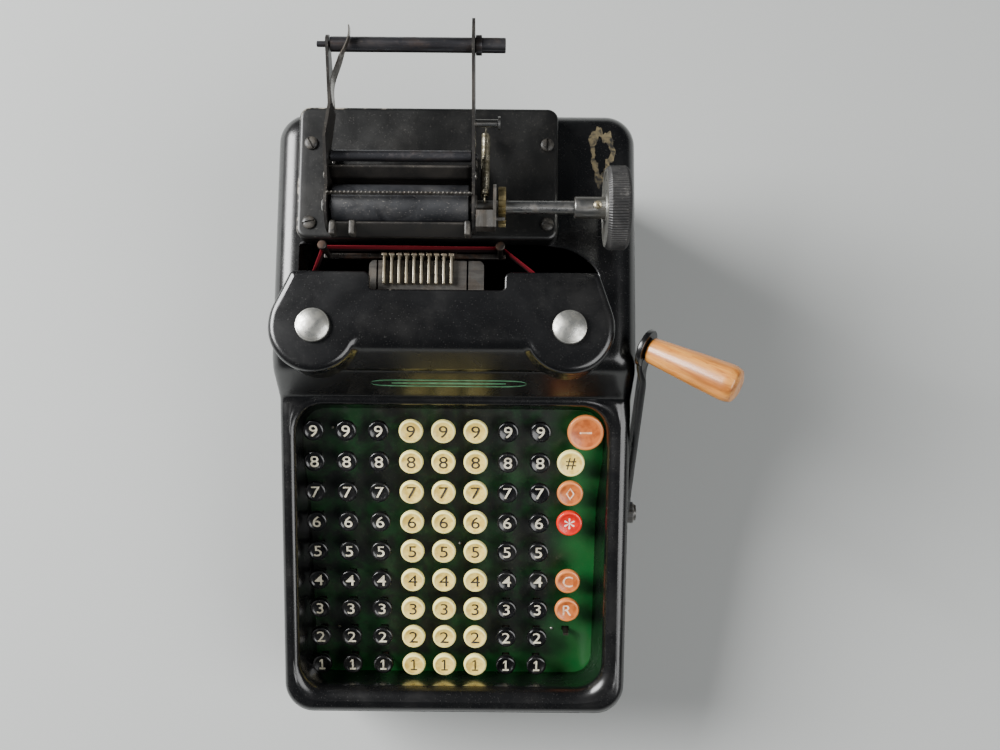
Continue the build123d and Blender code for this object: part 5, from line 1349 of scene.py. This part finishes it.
# each ring: distance from the face, radius or share of the hexagon, hexagon or not
nutRows = [(0.0, 5.1, False), (0.0, 1.0, True), (3.2, 1.0, True), (4.0, 0.9, True), (4.0, 5.1, False)]
nutRings = []
for out, r, hexed in nutRows:
    away = flat * r if hexed else r
    nutRings.append(np.stack([np.full(48, nutFace + out), crank["shaft"][0] + away * np.cos(angle),
                              crank["shaft"][1] + away * np.sin(angle)], -1))
makePiece("crankNut", [(np.array(nutRings), False, True, {})], steel, "crank", ["crank_nut"],
          sharp=30.0)
print("crank made")


# feet: a tapered rubber cup turned about each corner screw
foot = softPath([(8.0, 3.4), (8.0, 10.6), (0.0, 9.0), (0.0, 4.6), (3.0, 4.2), (3.0, 0.0)],
                (0.6, 1.4, 1.0, 0.3), 4)
feet = [turned(foot, (x, y, 0.0), (0, 0, 1), 48) for x, y in footPlaces]
makePiece("rubberFeet", feet, rubberBlack, "frame", ["feet"], sharp=40.0)


def stripeBand(xs, up, wide):
    # a thin painted band on the rise: place along it by distance up the slope, a little proud of it
    slope, proud = math.radians(63.0), 0.08
    rows = []
    for k in (-0.5, 0.5):
        s = up + wide * k
        y = casing["riseFootY"] + s * math.cos(slope) - proud * math.sin(slope)
        z = casing["riseFootZ"] + s * math.sin(slope) + proud * math.cos(slope)
        rows.append(np.column_stack([xs, np.broadcast_to(y, xs.shape), np.broadcast_to(z, xs.shape)]))
    return np.stack(rows), False, False, {}


xs = np.linspace(-47.0, 41.0, 60)
middle, half = (xs[0] + xs[-1]) / 2, (xs[-1] - xs[0]) / 2
taper = np.sqrt(np.clip(1 - ((xs - middle) / half) ** 8, 0, 1))
short = xs[8:-8]
stripeUp = 16.2
stripes = [stripeBand(xs, stripeUp + 3.0 * taper, 1.1 * taper + 0.02),
           stripeBand(xs, stripeUp - 3.0 * taper, 1.1 * taper + 0.02),
           stripeBand(short, np.full(len(short), stripeUp), 1.9 * (1 - np.abs((short - middle) / half) ** 3))]
makePiece("frontStripe", stripes, stripeGreen, "frame")
pins = [turned([(0, 0.9), (0.6, 0.85), (1.0, 0.5), (1.1, 0)],
               onKeyboard((0.0, 0.0, -plate["height"]), x, row), keyUp, 16)
        for x, row in ((-73.7, 2.0), (59.3, 2.0), (2.0, 5.0), (-74.0, 8.9))]
makePiece("platePins", pins, nickel, "frame")


def makePatch():
    # film on the deck between two uneven loops: r(a) = size * (1 + lobes), the inner one keeping old paint
    a = np.linspace(0, 2 * math.pi, 90, endpoint=False)
    lobes = 1 + 0.16 * np.sin(3 * a + 0.6) + 0.09 * np.sin(7 * a + 2.0) + 0.05 * np.sin(17 * a)
    sizes = np.array([6.6, 16.0])
    rows = []
    for scale in (1.0, 0.9, 0.66 + 0.06 * np.sin(5 * a), 0.58 + 0.08 * np.sin(4 * a + 1)):
        x = 81.5 + sizes[0] * lobes * scale * np.cos(a)
        y = 147.0 + sizes[1] * lobes * scale * np.sin(a)
        rows.append(np.stack([x, y, np.full(90, casing["deck"] + 0.04)], -1))
    makePiece("wornPatch", [(np.array(rows), False, True, {})], patchPaint, "frame", sharp=60.0)


makePatch()
print("ornament made")


# finishes of the pieces kept as drawn
finishes = {
    "base_plate": satinParts, "key_plate": greenPlate, "stem_guide_plate": darkSteel,
    "side_frames": darkSteel, "cross_rods": steel, "type_block": typeBlockMetal, "fixed_studs": steel,
    "left_carriage_plate": satinParts, "right_carriage_plate": satinParts, "tear_bar": wornSteel,
    "crank_return_spring": springWire, "roll_brake_spring": wornSteel, "main_shaft": steel,
    "drive_cams": wornSteel, "line_space_pawl": wornSteel,
    "type_levers": wornSteel, "adding_wheels": typeBrass, "bare_key_stem": darkSteel}
for name, finish in finishes.items():
    nodes[name].data.materials.clear()
    nodes[name].data.materials.append(finish)
print("finishes given")


camera = bpy.data.objects.new("camera", bpy.data.cameras.new("camera"))
bpy.context.scene.collection.objects.link(camera)
bpy.context.scene.camera = camera
camera.location = Vector(casingMiddle + np.array([0.0257, -0.0481, 0.732]))
tilt, roll = Matrix.Rotation(math.radians(7.0), 3, "X"), Matrix.Rotation(math.radians(0.5), 3, "Z")
camera.rotation_euler = (tilt @ roll).to_euler()
camera.data.lens, camera.data.sensor_width = 37.8, 36.0
camera.data.dof.use_dof = False

floorMesh = bpy.data.meshes.new("floor")
floorMesh.from_pydata([(-3, -3, 0), (3, -3, 0), (3, 3, 0), (-3, 3, 0)], [], [(0, 1, 2, 3)])
floor = bpy.data.objects.new("floor", floorMesh)
bpy.context.scene.collection.objects.link(floor)
floorMaterial, _, floorShader, _ = startMaterial("floorPale")
floorShader.inputs["Base Color"].default_value = (0.4, 0.41, 0.4, 1.0)
floorShader.inputs["Roughness"].default_value = 0.9
floorMesh.materials.append(floorMaterial)

lights = {  # name: (place, size, watts); all look at a place a little above the floor
    "windowLight": ((-1.5, 0.5, 1.3), 1.1, 115.0),
    "roomLight": ((1.3, -0.7, 1.7), 1.6, 42.0)}
for name, (place, size, watts) in lights.items():
    light = bpy.data.lights.new(name, "AREA")
    light.size, light.energy = size, watts
    lamp = bpy.data.objects.new(name, light)
    lamp.location = place
    lamp.rotation_euler = (Vector((0, 0, 0.1)) - Vector(place)).to_track_quat("-Z", "Y").to_euler()
    bpy.context.scene.collection.objects.link(lamp)
world = bpy.data.worlds.new("softRoom")
world.use_nodes = True
world.node_tree.nodes["Background"].inputs["Color"].default_value = (0.75, 0.82, 0.9, 1.0)
world.node_tree.nodes["Background"].inputs["Strength"].default_value = 0.09
bpy.context.scene.world = world
print("camera and lights set")
